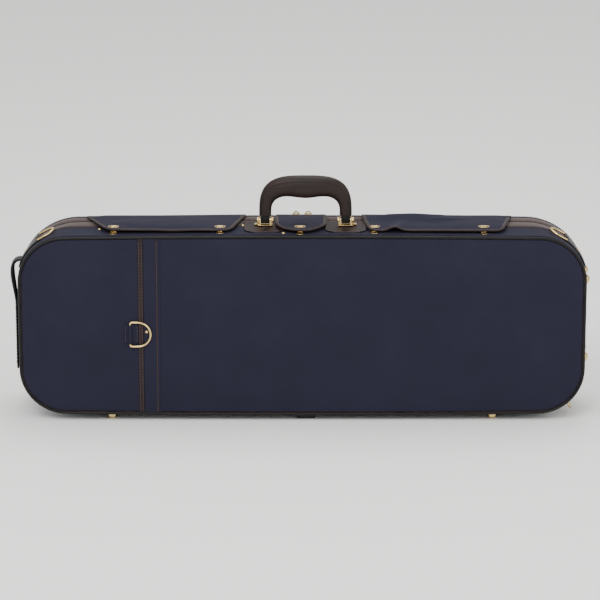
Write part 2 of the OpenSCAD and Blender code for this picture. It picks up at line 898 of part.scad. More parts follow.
module turn_button(i) {
    foot = top_z(LOCKS[i], lock_y) + plate_off;
    color("gold") stand() translate([LOCKS[i], lock_y, 0]) {
        translate([0, 0, foot]) cylinder(h = head_top - head_t / 2 - foot, r = stem_r);
        translate([0, 0, head_top - head_t]) stadium(head_len, head_wid, head_t);
    }
}
module turn_button_1() { turn_button(0); }
module turn_button_2() { turn_button(1); }
module turn_button_3() { turn_button(2); }
module turn_button_4() { turn_button(3); }
module turn_button_5() { turn_button(4); }

// --- Zip sliders ---

flange_t = 1;
flange_h = 0.8;
slider_t = 0.5;
slider_at = 7; // each slider's distance from the middle
pull = [18, 5, slider_t];

module zip_slider(s) {
    plate_y0 = base_end - teeth_w - 1.5;
    plate_z = split_half_w + gap;
    color("gold") stand() {
        translate([s * slider_at - slider_len / 2, plate_y0, plate_z])
            cube([slider_len, teeth_w + 4, slider_t]);
        translate([s * slider_at - slider_len / 2, plate_y0, split_half_w - flange_h])
            cube([slider_len, flange_t, flange_h + gap + slider_t]);
        translate([s * (slider_at + slider_len / 2 + pull[0] / 2) - pull[0] / 2, plate_y0 + 0.5,
                   plate_z])
            cube(pull);
    }
}
module zip_slider_left() { zip_slider(-1); }
module zip_slider_right() { zip_slider(1); }

pocket_y = y_split + pocket_zip_at;
pocket_top = rim_point([0, 1, 90], pocket_y, 0)[2];

module pocket_zip() {
    color("saddlebrown") stand() {
        band(ZIP_PATH, box_section(pocket_y - 2, pocket_y + 2, -gap, -0.9));
    }
}

pocket_slider_at = 8.5;
pocket_body_h = 1.7; // height of the pocket sliders' bodies above the cover
bail_r = 4;
bail_t = 1.6;

module pocket_slider(s) {
    x = s * pocket_slider_at;
    color("gold") stand() {
        translate([x - slider_len / 2, pocket_y - 3.5, pocket_top + pocket_body_h])
            cube([slider_len, 7, 1.4]);
        translate([x, pocket_y + 0.8, pocket_top + 3]) rotate([90, 0, 0])
            difference() {
                cylinder(h = bail_t, r = bail_r);
                translate([0, 0, -cut]) cylinder(h = bail_t + 2 * cut, r = bail_r - 1.5);
                translate([-2 * bail_r, -4 * bail_r, -cut])
                    cube([4 * bail_r, 4 * bail_r, bail_t + 2 * cut]);
            }
    }
}
module pocket_slider_left() { pocket_slider(-1); }
module pocket_slider_right() { pocket_slider(1); }

// --- Spine hinges ---

barrel_r = 1.9;
hinge_pin_r = 1;
hinge_z = -(split_half_w + barrel_r + gap);
HINGES = [-160, 0, 160];
knuckle = 10;
leaf_t = 0.7;
leaf_w = 15;

module hinge_leaf(side, knuckles) {
    for (x = HINGES) difference() {
        union() {
            translate([x - 2.5 * knuckle, side > 0 ? y_split + barrel_r + part_gap
                       : y_split - barrel_r - part_gap - leaf_w, hinge_z + barrel_r - leaf_t])
                cube([5 * knuckle, leaf_w, leaf_t]);
            for (k = knuckles) translate([x + (k - 2.5) * knuckle + 0.15, y_split, hinge_z]) {
                rotate([0, 90, 0]) cylinder(h = knuckle - part_gap, r = barrel_r);
                translate([0, side > 0 ? 0 : -barrel_r - part_gap - 1, barrel_r - leaf_t])
                    cube([knuckle - part_gap, barrel_r + part_gap + 1, leaf_t]);
            }
        }
        translate([x - 3 * knuckle, y_split, hinge_z]) rotate([0, 90, 0])
            cylinder(h = 6 * knuckle, r = hinge_pin_r + (side > 0 ? 0.05 : 0));
    }
}

module base_hinge_leaves() { color("goldenrod") stand() hinge_leaf(-1, [0, 2, 4]); }
module lid_hinge_leaves() { color("goldenrod") stand() hinge_leaf(1, [1, 3]); }
module hinge_pins() {
    color("silver") stand() for (x = HINGES)
        translate([x - 2.5 * knuckle, y_split, hinge_z]) rotate([0, 90, 0])
            cylinder(h = 5 * knuckle, r = hinge_pin_r);
}

// --- Lid ---

lid_start = y_split + part_gap / 2;
lid_tape_stop = y_split + lid_band - 1;
CROWN_YS = [for (i = [0:6]) y_split + mix(lid_band, lid_depth, i / 6)];

seam_lap = 1;

// A lid layer's outside, inset by t, stepping in at the far edge to leave the piping its seat.
function lid_outside(y_start, t) = concat(
    [[y_start, t]],
    [for (y = CROWN_YS) if (y < y_far - bead_seat - t - 0.5) [y, t]],
    [[y_far - bead_seat - t, t], [y_far - bead_seat - t, bead_seat + t], [y_far - t, bead_seat + t]]
);

module lid_shell() {
    color("tan") stand() difference() {
        shell_loft(lid_outside(lid_start, under_cover));
        lid_core(under_cover + shell_t, y_far - under_cover - shell_t);
    }
}

module lid_cover() {
    color("darkslateblue") stand() {
        difference() {
            shell_loft(lid_outside(lid_tape_stop + gap, 0));
            shell_loft(lid_outside(y_split - 1, cover_t));
        }
        band(SPINE_PATH, box_section(lid_start, lid_tape_stop + gap + seam_lap, 0, cover_t));
    }
}

// The solid inside a lid layer: the lid's outline inset by t, up to y_end.
module lid_core(t, y_end) {
    ys = [for (y = CROWN_YS) if (y < y_end - 1) y];
    shell_loft(concat([[y_split - 1, t]], [for (y = ys) [y, t]], [[y_end, t + y_far - y_end]]));
}

module lid_piping() {
    color("black") stand() piping_bead(y_far - bead_at, bead_t);
}

module lid_lining() {
    color("seagreen") stand() difference() {
        lid_core(under_shell, y_far - under_shell);
        lid_core(under_shell + lining_t, y_far - under_shell - lining_t);
        translate([-case_len, y_split - 10, -case_wid])
            cube([2 * case_len, 12, 2 * case_wid]);
    }
}

module lid_zip_tape() {
    color("rosybrown") stand()
        band(ZIP_PATH, box_section(lid_start + teeth_w + 2 * gap, lid_tape_stop, cover_t, tape_inset));
}

module lid_zip_teeth() {
    color("saddlebrown") stand()
        band(ZIP_PATH, box_section(lid_start, lid_start + teeth_w, cover_t, 0));
}

lid_wall = y_far - under_shell - lining_t; // inner face of the lid's lining
bow_z = 60;
loop_x = case_len / 2 - 100;
spinner_x = -(case_len / 2 - 105);
loop_size = [44, 11, 28];
loop_room = [44, 8, 22];
spinner_stem = [17, 4]; // height and radius
spinner_bar = [36, 11, 4];

module bow_loops() {
    color("darkgreen") stand()
        for (z = [-bow_z, bow_z])
            translate([loop_x, lid_wall - gap, z]) difference() {
                translate([-loop_size[0] / 2, -loop_size[1], -loop_size[2] / 2])
                    cube(loop_size);
                translate([-loop_room[0] / 2 - 2, -loop_size[1] + 1.5, -loop_room[2] / 2])
                    cube(loop_room);
            }
}

module bow_spinner(z) {
    color("saddlebrown") stand()
        translate([spinner_x, lid_wall - gap, z]) rotate([90, 0, 0]) {
            cylinder(h = spinner_stem[0], r = spinner_stem[1]);
            translate([0, 0, spinner_stem[0]])
                stadium(spinner_bar[0], spinner_bar[1], spinner_bar[2]);
        }
}
module bow_spinner_upper() { bow_spinner(bow_z); }
module bow_spinner_lower() { bow_spinner(-bow_z); }

base_shell();
base_face_cover();
base_side_cover();
base_piping();
base_zip_tape();
base_zip_teeth();
base_lining();
cushions();
face_strip();
strip_edging();
strip_chape();
rivets();
strap_tabs();
end_handle();
base_feet();
centre_foot();
handle_patches();
handle_brackets();
handle_pins();
lock_plates();
base_hinge_leaves();
hinge_pins();
lid_shell();
lid_cover();
lid_piping();
lid_lining();
lid_zip_tape();
lid_zip_teeth();
lid_hinge_leaves();
lid_feet();
pocket_zip();
bow_loops();
flap_roots();
handle_grip();
handle_ends();
turn_button_1();
turn_button_2();
turn_button_3();
turn_button_4();
turn_button_5();
flap_left();
flap_middle();
flap_right();
flap_edging_left();
flap_edging_middle();
flap_edging_right();
eyelets_left();
eyelets_middle();
eyelets_right();
strap_ring_left();
strap_ring_right();
face_ring();
corner_ring();
zip_slider_left();
zip_slider_right();
pocket_slider_left();
pocket_slider_right();
accessory_lid();
bow_spinner_upper();
bow_spinner_lower();
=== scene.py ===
"""An oblong violin case with cloth covers, leather trim, brass fittings and a plush inside."""

import math

import bmesh
import bpy
from mathutils import Matrix, Vector, noise


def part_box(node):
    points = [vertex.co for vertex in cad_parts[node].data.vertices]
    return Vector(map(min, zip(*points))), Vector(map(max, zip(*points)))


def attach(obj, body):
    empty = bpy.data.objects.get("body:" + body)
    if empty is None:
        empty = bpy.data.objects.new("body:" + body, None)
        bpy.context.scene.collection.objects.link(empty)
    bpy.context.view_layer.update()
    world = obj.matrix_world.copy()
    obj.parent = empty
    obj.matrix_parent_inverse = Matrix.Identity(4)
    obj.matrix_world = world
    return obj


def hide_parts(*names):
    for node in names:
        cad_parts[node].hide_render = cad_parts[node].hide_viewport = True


bl_info = {
    "name": "Oblong Violin Case",
    "version": (1, 0, 0),
    "blender": (4, 5, 0),
    "location": "View3D > Sidebar > Violin Case",
    "description": "Covers, leather, zips and fittings of an oblong violin case",
    "category": "Add Mesh",
}

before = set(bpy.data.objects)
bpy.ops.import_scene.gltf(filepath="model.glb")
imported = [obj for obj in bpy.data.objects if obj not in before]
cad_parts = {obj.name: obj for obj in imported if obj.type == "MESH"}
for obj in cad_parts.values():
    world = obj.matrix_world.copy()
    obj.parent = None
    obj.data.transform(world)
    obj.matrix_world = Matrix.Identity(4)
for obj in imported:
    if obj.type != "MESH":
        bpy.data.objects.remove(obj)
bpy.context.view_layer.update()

# --- The case's outline, in millimetres, from the frame ---

MM = 0.001


def corners(node):
    """A frame node's lowest and highest corners in millimetres."""
    low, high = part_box(node)
    return low / MM, high / MM


FACE_LOW, FACE_HIGH = corners("base_face_cover")
Y_FACE = FACE_LOW.y
Y_BACK = corners("lid_cover")[1].y
CLOTH = 0.9  # thickness of the glued covers
BEAD_RADIUS = 2.0
SEAT = 2 * BEAD_RADIUS + 0.3  # how far in from the outline the face cloth starts
NODE_WELD = 2e-6  # metres within which a frame node's corners are one
BASE_DEPTH = 71.0
LID_DEPTH = Y_BACK - Y_FACE - BASE_DEPTH
Y_SPLIT = Y_FACE + BASE_DEPTH
FACE_HALF = (FACE_HIGH.x + SEAT, (FACE_HIGH.z - FACE_LOW.z) / 2 + SEAT)
FLARE = 3.0  # how much further out the case stands at the split than at the face
MIDDLE_Z = (FACE_HIGH.z + FACE_LOW.z) / 2
FACE_CORNER, SPLIT_CORNER = 66.0, 86.0
BOW = math.radians(0.7)
LID_BAND, LID_CROWN = 20.0, 18.0
SPLIT_HALF_WIDTH = FACE_HALF[1] + FLARE
TEETH_WIDTH = 2.6
SPLIT_GAP = 0.15
TAPE_WIDTH, BINDING_WIDTH = 17, 7
BASE_END, LID_START = Y_SPLIT - SPLIT_GAP, Y_SPLIT + SPLIT_GAP
TAPE_STOP = BASE_END - TEETH_WIDTH - 2
TAPE_START = TAPE_STOP - TAPE_WIDTH
BINDING_START = TAPE_START - BINDING_WIDTH
LID_TAPE_STOP = Y_SPLIT + LID_BAND - 1
FLAP_GAP = 1.4
FLAP_Z = SPLIT_HALF_WIDTH + FLAP_GAP
FLAP_EDGE, FLAP_HINGE = 12.0, 84.0
LOCK_DEPTH = 26
LOCK_Y = Y_FACE + LOCK_DEPTH
LOCKS = (-262, -114, -3, 100, 252)  # x of each lock, left to right
END_LENGTH = 98  # straight part of each end
BOTH_CORNERS = 160  # what the two corners take from a side


def mix(a, b, t):
    return a + (b - a) * t


def station(y):
    """Half length, half width and corner radius of the case at depth y."""
    if y <= Y_SPLIT:
        t = (y - Y_FACE) / BASE_DEPTH
        return (
            FACE_HALF[0] + FLARE * t,
            FACE_HALF[1] + FLARE * t,
            mix(FACE_CORNER, SPLIT_CORNER, t),
        )
    past = max(0.0, y - Y_SPLIT - LID_BAND) / (LID_DEPTH - LID_BAND)
    inset = LID_CROWN * past**1.4
    return (
        FACE_HALF[0] + FLARE - inset,
        FACE_HALF[1] + FLARE - inset,
        SPLIT_CORNER - inset,
    )


def rim_point(spot, y, inset=0.0):
    """The outline's point at a spot, as (x, y, z) about the middle of the case."""
    kind, sx, sz, value = spot
    half_len, half_wid, corner = station(y)
    a, r = half_len - corner, corner - inset
    if kind == "side":
        k = a / math.sin(BOW)
        return Vector(
            (
                (k + r) * math.cos(value),
                y,
                sz * (half_wid - k - corner) + (k + r) * math.sin(value),
            )
        )
    drop = half_wid - corner - a * math.tan(BOW / 2)
    if kind == "end":
        return Vector((sx * (a + r), y, value * drop))
    return Vector((sx * a + r * math.cos(value), y, sz * drop + r * math.sin(value)))


def rim_out(spot):
    """The outward direction at a spot of the outline."""
    kind, sx, _, value = spot
    if kind == "end":
        return Vector((sx, 0, 0))
    return Vector((math.cos(value), 0, math.sin(value)))


def run(kind, sx, sz, first, last, length, step):
    """Spots from first up to, but not including, last."""
    count = max(2, round(length / step))
    return [(kind, sx, sz, mix(first, last, i / count)) for i in range(count)]


def corner_run(sx, sz, first, last, step):
    return run("corner", sx, sz, first, last, abs(last - first) * SPLIT_CORNER, step)


def side_run(sz, step):
    middle = sz * math.pi / 2 if sz > 0 else 1.5 * math.pi
    return run("side", 0, sz, middle - BOW, middle + BOW, 2 * FACE_HALF[0] - BOTH_CORNERS, step)


def end_run(sx, first, last, step):
    return run("end", sx, 0, first, last, END_LENGTH, step)


def rim_path(step):
    """Spots all round the outline."""
    half, full = math.pi / 2, math.pi
    return (
        corner_run(1, 1, 0, half - BOW, step)
        + side_run(1, step)
        + corner_run(-1, 1, half + BOW, full, step)
        + end_run(-1, 1, -1, step)
        + corner_run(-1, -1, full, full + half - BOW, step)
        + side_run(-1, step)
        + corner_run(1, -1, full + half + BOW, 2 * full, step)
        + end_run(1, -1, 1, step)
    )


def zip_path(step):
    """Spots along the zip: over the top, down both ends and half way round the spine's corners."""
    half, full, stop = math.pi / 2, math.pi, math.pi / 4
    return (
        corner_run(1, -1, 2 * full - stop, 2 * full, step)
        + end_run(1, -1, 1, step)
        + corner_run(1, 1, 0, half - BOW, step)
        + side_run(1, step)
        + corner_run(-1, 1, half + BOW, full, step)
        + end_run(-1, 1, -1, step)
        + corner_run(-1, -1, full, full + stop, step)
        + [("corner", -1, -1, full + stop)]
    )


def spine_path(step):
    """Spots along the spine, between the two ends of the zip."""
    half, full, stop = math.pi / 2, math.pi, math.pi / 4
    return (
        corner_run(-1, -1, full + stop, full + half - BOW, step)
        + side_run(-1, step)
        + corner_run(1, -1, full + half + BOW, 2 * full - stop, step)
        + [("corner", 1, -1, 2 * full - stop)]
    )


def top_z(x, y):
    """Height of the top side above the middle of the case."""
    half_len, half_wid, corner = station(y)
    k = (half_len - corner) / math.sin(BOW) + corner
    return half_wid - k + math.sqrt(k * k - x * x)


def place(point):
    """A point about the middle of the case, in millimetres, to metres in the frame."""
    return Vector((point[0], point[1], point[2] + MIDDLE_Z)) * MM


# --- Sizes and colours a user would change ---


def linear(code):
    """An sRGB hex colour as linear red, green and blue."""
    parts = [int(code[i : i + 2], 16) / 255 for i in (0, 2, 4)]
    return [c / 12.92 if c <= 0.04045 else ((c + 0.055) / 1.055) ** 2.4 for c in parts]


def colour(name, code, description):
    return bpy.props.FloatVectorProperty(
        name=name, description=description, subtype="COLOR", size=3, default=linear(code)
    )


def length(name, millimetres, description):
    return bpy.props.FloatProperty(
        name=name, description=description, default=millimetres * MM, unit="LENGTH"
    )


class CaseSizes(bpy.types.PropertyGroup):
    """Sizes of the sewing, the zip and the surface patterns."""

    stitch_length: length("Stitch Length", 3.2, "Length of thread that shows in each stitch")
    stitch_pitch: length("Stitch Pitch", 4.6, "Distance from one stitch to the next")
    thread_radius: length("Thread Radius", 0.42, "Half the thickness of the sewing thread")
    tooth_pitch: length("Tooth Pitch", 2.4, "Distance from one zip tooth to the next")
    weave_pitch: length("Weave Pitch", 2.0, "Distance between threads of the outer cloth")
    grain_size: length("Grain Size", 1.6, "Width of one pebble of the leather's grain")
    pucker: length("Pucker", 0.22, "Height of the cloth's puckers along its seams")


class CaseColours(bpy.types.PropertyGroup):
    """Colours of the cloth, leather, metal and plush."""

    cloth: colour("Cloth", "232230", "Navy outer cloth")
    edging: colour("Edging Leather", "221617", "Brown leather on edges and patches")
    piping: colour("Piping Leather", "0f0e10", "Near-black leather over the piping cord")
    grip: colour("Grip Leather", "221815", "Dark brown leather of the handle")
    tape: colour("Zip Tape", "3a2723", "Brown woven zip tape")
    teeth: colour("Zip Teeth", "2c1c18", "Dark nylon zip teeth")
    thread: colour("Thread", "3d2723", "Brown sewing thread")
    brass: colour("Brass", "d8bd84", "Polished brass fittings")
    plush: colour("Plush", "8d6f4f", "Plush that lines the inside")
    board: colour("Board", "b08d62", "Laminated wood of the shells")
    floor: colour("Floor", "f2f1ef", "Studio floor")


# --- Materials ---


def node(tree, kind, settings=None, inputs=None, links=None):
    """Adds a node with its settings, its sockets' values and the links into it."""
    made = tree.nodes.new("ShaderNode" + kind)
    for name, value in (settings or {}).items():
        setattr(made, name, value)
    for socket, value in (inputs or {}).items():
        made.inputs[socket].default_value = value
    for socket, (source, output) in (links or {}).items():
        tree.links.new(source.outputs[output], made.inputs[socket])
    return made


def period(millimetres):
    """The scale that gives a wave texture's bands this spacing on metre coordinates."""
    return 2 * math.pi / 20 / (millimetres * MM)


def cells(millimetres):
    """The scale that gives a noise or cell texture features of this size."""
    return 1 / (millimetres * MM)


def shades(base, low, high):
    """The base colour made darker and lighter, as two ramp colours."""
    return [
        (*[min(1.0, c * low) for c in base], 1),
        (*[min(1.0, c * high) for c in base], 1),
    ]


def finish_material(name, base, low, high, blotch, height, bump_mm, strength, shader):
    """A material whose colour drifts between two shades over blotches, is darkened by painted
    shade in the low parts of its relief, and whose bump comes from height, a function that adds
    its nodes to the tree and returns (node, output)."""
    material = bpy.data.materials.new(name)
    material.use_nodes = True
    tree = material.node_tree
    tree.nodes.clear()
    where = node(tree, "TexCoord")
    drift = node(
        tree,
        "TexNoise",
        inputs={"Scale": cells(blotch), "Detail": 4.0, "Roughness": 0.6},
        links={"Vector": (where, "Object")},
    )
    ramp = node(tree, "ValToRGB", links={"Fac": (drift, "Fac")})
    dark, light = shades(base, low, high)
    ramp.color_ramp.elements[0].position, ramp.color_ramp.elements[0].color = 0.3, dark
    ramp.color_ramp.elements[1].position, ramp.color_ramp.elements[1].color = 0.7, light
    relief = height(tree, where)
    # Painted shade: the base colour is multiplied down in the low parts of the relief, in the
    # weave's gaps and the grain's crevices, where shade would fall. The factor given for each
    # material (0.75 unless set) is how dark the lowest parts get.
    valley = node(
        tree,
        "MapRange",
        inputs={"To Min": shader.pop("valley", 0.75), "To Max": 1.0},
        links={"Value": relief},
    )
    tone_and_painted_shade = node(
        tree,
        "Mix",
        {"data_type": "RGBA", "blend_type": "MULTIPLY"},
        {"Factor": 1.0},
        {"A": (ramp, "Color"), "B": (valley, "Result")},
    )
    bump = node(
        tree,
        "Bump",
        inputs={"Strength": strength, "Distance": bump_mm * MM},
        links={"Height": relief},
    )
    rough = shader.pop("roughness")
    worn = node(
        tree,
        "MapRange",
        inputs={"To Min": rough - 0.06, "To Max": rough + 0.06},
        links={"Value": (drift, "Fac")},
    )
    surface = node(
        tree,
        "BsdfPrincipled",
        inputs=shader,
        links={
            "Base Color": (tone_and_painted_shade, "Result"),
            "Normal": (bump, "Normal"),
            "Roughness": (worn, "Result"),
        },
    )
    node(tree, "OutputMaterial", links={"Surface": (surface, "BSDF")})
    return material


def weave_height(pitch):
    """Plain weave: threads along all three axes, so that each side shows two of them."""

    def add(tree, where):
        total = None
        for axis in ("X", "Y", "Z"):
            threads = node(
                tree,
                "TexWave",
                {"bands_direction": axis, "wave_profile": "SIN"},
                {"Scale": period(pitch), "Distortion": 0.6, "Detail": 1.0, "Detail Scale": 2.0},
                {"Vector": (where, "Object")},
            )
            source = (threads, "Fac")
            if total:
                source = (
                    node(tree, "Math", {"operation": "ADD"}, links={0: total, 1: source}),
                    "Value",
                )
            total = source
        third = node(tree, "Math", {"operation": "MULTIPLY"}, {1: 1 / 3}, {0: total})
        return third, "Value"

    return add


def grain_height(size):
    """Leather's pebbled grain: rounded cells with fine wrinkles on them."""

    def add(tree, where):
        wander = node(
            tree,
            "TexNoise",
            inputs={"Scale": cells(size * 2.5)},
            links={"Vector": (where, "Object")},
        )
        shift = node(
            tree,
            "Mix",
            {"data_type": "VECTOR"},
            {"Factor": 0.0012},
            {"A": (where, "Object"), "B": (wander, "Color")},
        )
        pebbles = node(
            tree,
            "TexVoronoi",
            {"feature": "SMOOTH_F1"},
            {"Scale": cells(size), "Smoothness": 0.6, "Randomness": 0.9},
            {"Vector": (shift, "Result")},
        )
        wrinkles = node(
            tree,
            "TexNoise",
            inputs={"Scale": cells(size / 3), "Detail": 3.0},
            links={"Vector": (where, "Object")},
        )
        rounded = node(
            tree, "Math", {"operation": "SUBTRACT"}, {0: 1.0}, {1: (pebbles, "Distance")}
        )
        both = node(
            tree,
            "Mix",
            inputs={"Factor": 0.25},
            links={"A": (rounded, "Value"), "B": (wrinkles, "Fac")},
        )
        return both, "Result"

    return add


def nap_height(size):
    """Short pile or brushed metal's fine marks: plain noise."""

    def add(tree, where):
        pile = node(
            tree,
            "TexNoise",
            inputs={"Scale": cells(size), "Detail": 5.0, "Roughness": 0.65},
            links={"Vector": (where, "Object")},
        )
        return pile, "Fac"

    return add


def ribs_height(pitch, axis):
    """Ribs of a woven tape, across its run."""

    def add(tree, where):
        ribs = node(
            tree,
            "TexWave",
            {"bands_direction": axis},
            {"Scale": period(pitch), "Distortion": 0.8, "Detail": 1.0},
            {"Vector": (where, "Object")},
        )
        fuzz = node(
            tree, "TexNoise", inputs={"Scale": cells(0.8)}, links={"Vector": (where, "Object")}
        )
        both = node(
            tree,
            "Mix",
            inputs={"Factor": 0.35},
            links={"A": (ribs, "Fac"), "B": (fuzz, "Fac")},
        )
        return both, "Result"

    return add


MATERIALS = {}


def make_materials(sizes, colours):
    weave, grain = sizes.weave_pitch / MM, sizes.grain_size / MM
    leather = {"Specular IOR Level": 0.22, "IOR": 1.5}
    table = {
        # Polyester oxford cloth, plain woven: matt with a faint sheen at grazing angles. Its
        # threads are drawn about four times as coarse as real ones, so that they show at all.
        "woven_polyester": (
            colours.cloth, 0.93, 1.08, 70, weave_height(weave), 0.12, 0.35,
            {"roughness": 0.62, "valley": 0.86, "Sheen Weight": 0.02, "Sheen Roughness": 0.45,
             "Specular IOR Level": 0.05},
        ),
        # Cowhide, drum dyed and rolled: fine pebbles and a waxy gloss on their tops.
        "grained_cowhide": (
            colours.edging, 0.7, 1.35, 14, grain_height(grain), 0.25, 0.5,
            {"roughness": 0.5, **leather},
        ),
        # Calf leather over cord: tight and smooth, glossy where it bends.
        "piping_calf": (
            colours.piping, 0.75, 1.5, 18, grain_height(grain * 0.7), 0.12, 0.35,
            {"roughness": 0.4, "Specular IOR Level": 0.2},
        ),
        # Embossed grip leather: larger pebbles and polished by hands.
        "pebbled_grip_leather": (
            colours.grip, 0.8, 1.25, 25, grain_height(grain * 1.1), 0.3, 0.55,
            {"roughness": 0.46, **leather},
        ),
        # Polyester zip tape: ribbed along the zip, and matt.
        "zip_tape": (
            colours.tape, 0.8, 1.15, 12, ribs_height(2.2, "Y"), 0.2, 0.6,
            {"roughness": 0.75, "Sheen Weight": 0.15, "Specular IOR Level": 0.3},
        ),
        # Nylon coil: smooth moulded plastic.
        "nylon_coil": (
            colours.teeth, 0.85, 1.2, 9, nap_height(1.5), 0.05, 0.2, {"roughness": 0.42},
        ),
        # Bonded polyester thread, twisted.
        "bonded_thread": (
            colours.thread, 0.8, 1.3, 5, nap_height(0.5), 0.08, 0.4,
            {"roughness": 0.55, "Sheen Weight": 0.2},
        ),
        # Die-cast and plated brass: polished, with hairline wear.
        "polished_brass": (
            colours.brass, 0.88, 1.06, 8, nap_height(1.1), 0.02, 0.2,
            {"roughness": 0.24, "valley": 0.92, "Metallic": 1.0},
        ),
        # Drawn steel wire of the hinge pins.
        "drawn_steel": (
            linear("a9aaac"), 0.9, 1.05, 8, ribs_height(1.0, "X"), 0.02, 0.2,
            {"roughness": 0.32, "Metallic": 1.0},
        ),
        # Moulded rubber: dull, with a faint bloom.
        "moulded_rubber": (
            linear("1d1c1e"), 0.85, 1.25, 12, nap_height(0.9), 0.05, 0.3, {"roughness": 0.8},
        ),
        # Cotton velvet plush: short upright pile that goes pale at its edges.
        "cotton_plush": (
            colours.plush, 0.82, 1.14, 35, nap_height(1.3), 0.35, 0.6,
            {"roughness": 0.9, "Sheen Weight": 0.7, "Sheen Roughness": 0.4,
             "Specular IOR Level": 0.2},
        ),
        # Poplar laminate, sanded and sealed: grain along the case.
        "poplar_laminate": (
            colours.board, 0.85, 1.1, 30, ribs_height(1.8, "Y"), 0.08, 0.3, {"roughness": 0.6},
        ),
    }
    for name, row in table.items():
        MATERIALS[name] = finish_material(name, *row)


# --- Making pieces ---


def piece(name, mesh, body, material, replaces=(), smooth_angle=40, rides=True):
    """Turns a bmesh into an object of that material that rides on a body."""
    data = bpy.data.meshes.new(name)
    mesh.to_mesh(data)
    mesh.free()
    made = bpy.data.objects.new(name, data)
    bpy.context.scene.collection.objects.link(made)
    data.materials.append(MATERIALS[material])
    data.shade_smooth()
    if smooth_angle < 180:
        data.set_sharp_from_angle(angle=math.radians(smooth_angle))
    if replaces:
        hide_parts(*replaces)
    if rides:
        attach(made, body)
    return made


def surface(mesh, columns, rows, spot, out=None):
    """Adds a grid of columns by rows faces and moves its point (i, j) to spot(i, j), in
    millimetres about the middle of the case. out(centre) is the way that its faces look."""
    grid = bmesh.ops.create_grid(mesh, x_segments=columns, y_segments=rows, size=0.5)["verts"]
    for vertex in grid:
        i = round((vertex.co.x + 0.5) * columns)
        j = round((vertex.co.y + 0.5) * rows)
        vertex.co = place(spot(i, j))
    faces = list({face for vertex in grid for face in vertex.link_faces})
    bmesh.ops.remove_doubles(mesh, verts=grid, dist=1e-6)
    faces = [face for face in faces if face.is_valid]
    for face in faces:
        face.normal_update()
    if out:
        agree = sum(
            face.normal.dot(out(face.calc_center_median() / MM - Vector((0, 0, MIDDLE_Z))))
            * face.calc_area()
            for face in faces
        )
        if agree < 0:
            bmesh.ops.reverse_faces(mesh, faces=faces)
    return faces


def close_ends(mesh):
    """Closes open ends and backs with flat faces and points every face outwards."""
    edges = [edge for edge in mesh.edges if edge.is_boundary]
    bmesh.ops.holes_fill(mesh, edges=edges, sides=0)
    bmesh.ops.recalc_face_normals(mesh, faces=mesh.faces)


def swept(mesh, path, section, loop_path, loop_section, ripple=None):
    """Adds a section, listed as (y, inset), carried along spots of the outline. ripple(i, y)
    is added to the inset."""
    columns = len(path) if loop_path else len(path) - 1
    rows = len(section) if loop_section else len(section) - 1

    def spot(i, j):
        y, inset = section[j % len(section)]
        extra = ripple(i % len(path), y) if ripple else 0
        return rim_point(path[i % len(path)], y, inset + extra)

    def out(centre):
        return Vector((centre.x if abs(centre.x) > 300 else 0, 0, centre.z))

    return surface(mesh, columns, rows, spot, out)


def thicken(made, millimetres):
    """Gives an open cloth or leather surface its thickness, inwards."""
    solid = made.modifiers.new("thickness", "SOLIDIFY")
    solid.thickness, solid.offset = millimetres * MM, -1


def distances(line):
    """The distance along a line at each of its points."""
    total, marks = 0.0, [0.0]
    for a, b in zip(line, line[1:]):
        total += (b - a).length
        marks.append(total)
    return marks


def bead(mesh, centre, axes, radii):
    """Adds a small ball with these radii along three axes, in millimetres."""
    turn = Matrix(axes).transposed().to_4x4()
    size = Matrix.Diagonal((*[radius * MM for radius in radii], 1))
    bmesh.ops.create_uvsphere(
        mesh,
        u_segments=6,
        v_segments=4,
        radius=1,
        matrix=Matrix.Translation(place(centre)) @ turn @ size,
    )


def stitches(name, rows, body, sizes):
    """Sewing stitches along rows of (point, outward direction), in millimetres."""
    mesh = bmesh.new()
    pitch, long = sizes.stitch_pitch / MM, sizes.stitch_length / MM
    thick = sizes.thread_radius / MM
    for row in rows:
        line = [p for p, _ in row]
        marks = distances(line)
        count = max(1, int(marks[-1] / pitch))
        k = 0
        for n in range(count):
            at = (n + 0.5) * marks[-1] / count
            while k < len(marks) - 2 and marks[k + 1] < at:
                k += 1
            t = (at - marks[k]) / max(1e-6, marks[k + 1] - marks[k])
            centre = line[k].lerp(line[k + 1], t)
            along = (line[k + 1] - line[k]).normalized()
            up = row[k][1].lerp(row[k + 1][1], t)
            up = (up - along * up.dot(along)).normalized()
            bead(mesh, centre, (along, up.cross(along), up), (long / 2, thick, thick * 0.8))
    return piece(name, mesh, body, "bonded_thread", smooth_angle=180)


def rim_row(path, y, inset):
    """A stitch row along the outline."""
    return [(rim_point(spot, y, inset), rim_out(spot)) for spot in path]


def merged_copy(node_name):
    """A bmesh of a frame node with its loose triangles joined and its flat areas made whole."""
    mesh = bmesh.new()
    mesh.from_mesh(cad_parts[node_name].data)
    bmesh.ops.remove_doubles(mesh, verts=mesh.verts, dist=NODE_WELD)
    bmesh.ops.dissolve_limit(
        mesh, angle_limit=math.radians(1.5), verts=mesh.verts, edges=mesh.edges
    )
    return mesh


def softened(name, node_name, body, material, edge=0.25, angle=32):
    """A frame node with its hard edges rounded, in a finish of its own."""
    mesh = merged_copy(node_name)
    hard = [
        e
        for e in mesh.edges
        if len(e.link_faces) == 2 and e.calc_face_angle(0) > math.radians(angle)
    ]
    bmesh.ops.bevel(
        mesh,
        geom=hard,
        offset=edge * MM,
        offset_type="OFFSET",
        segments=2,
        profile=0.5,
        affect="EDGES",
        clamp_overlap=True,
        material=-1,
    )
    return piece(name, mesh, body, material, replaces=[node_name], smooth_angle=35)


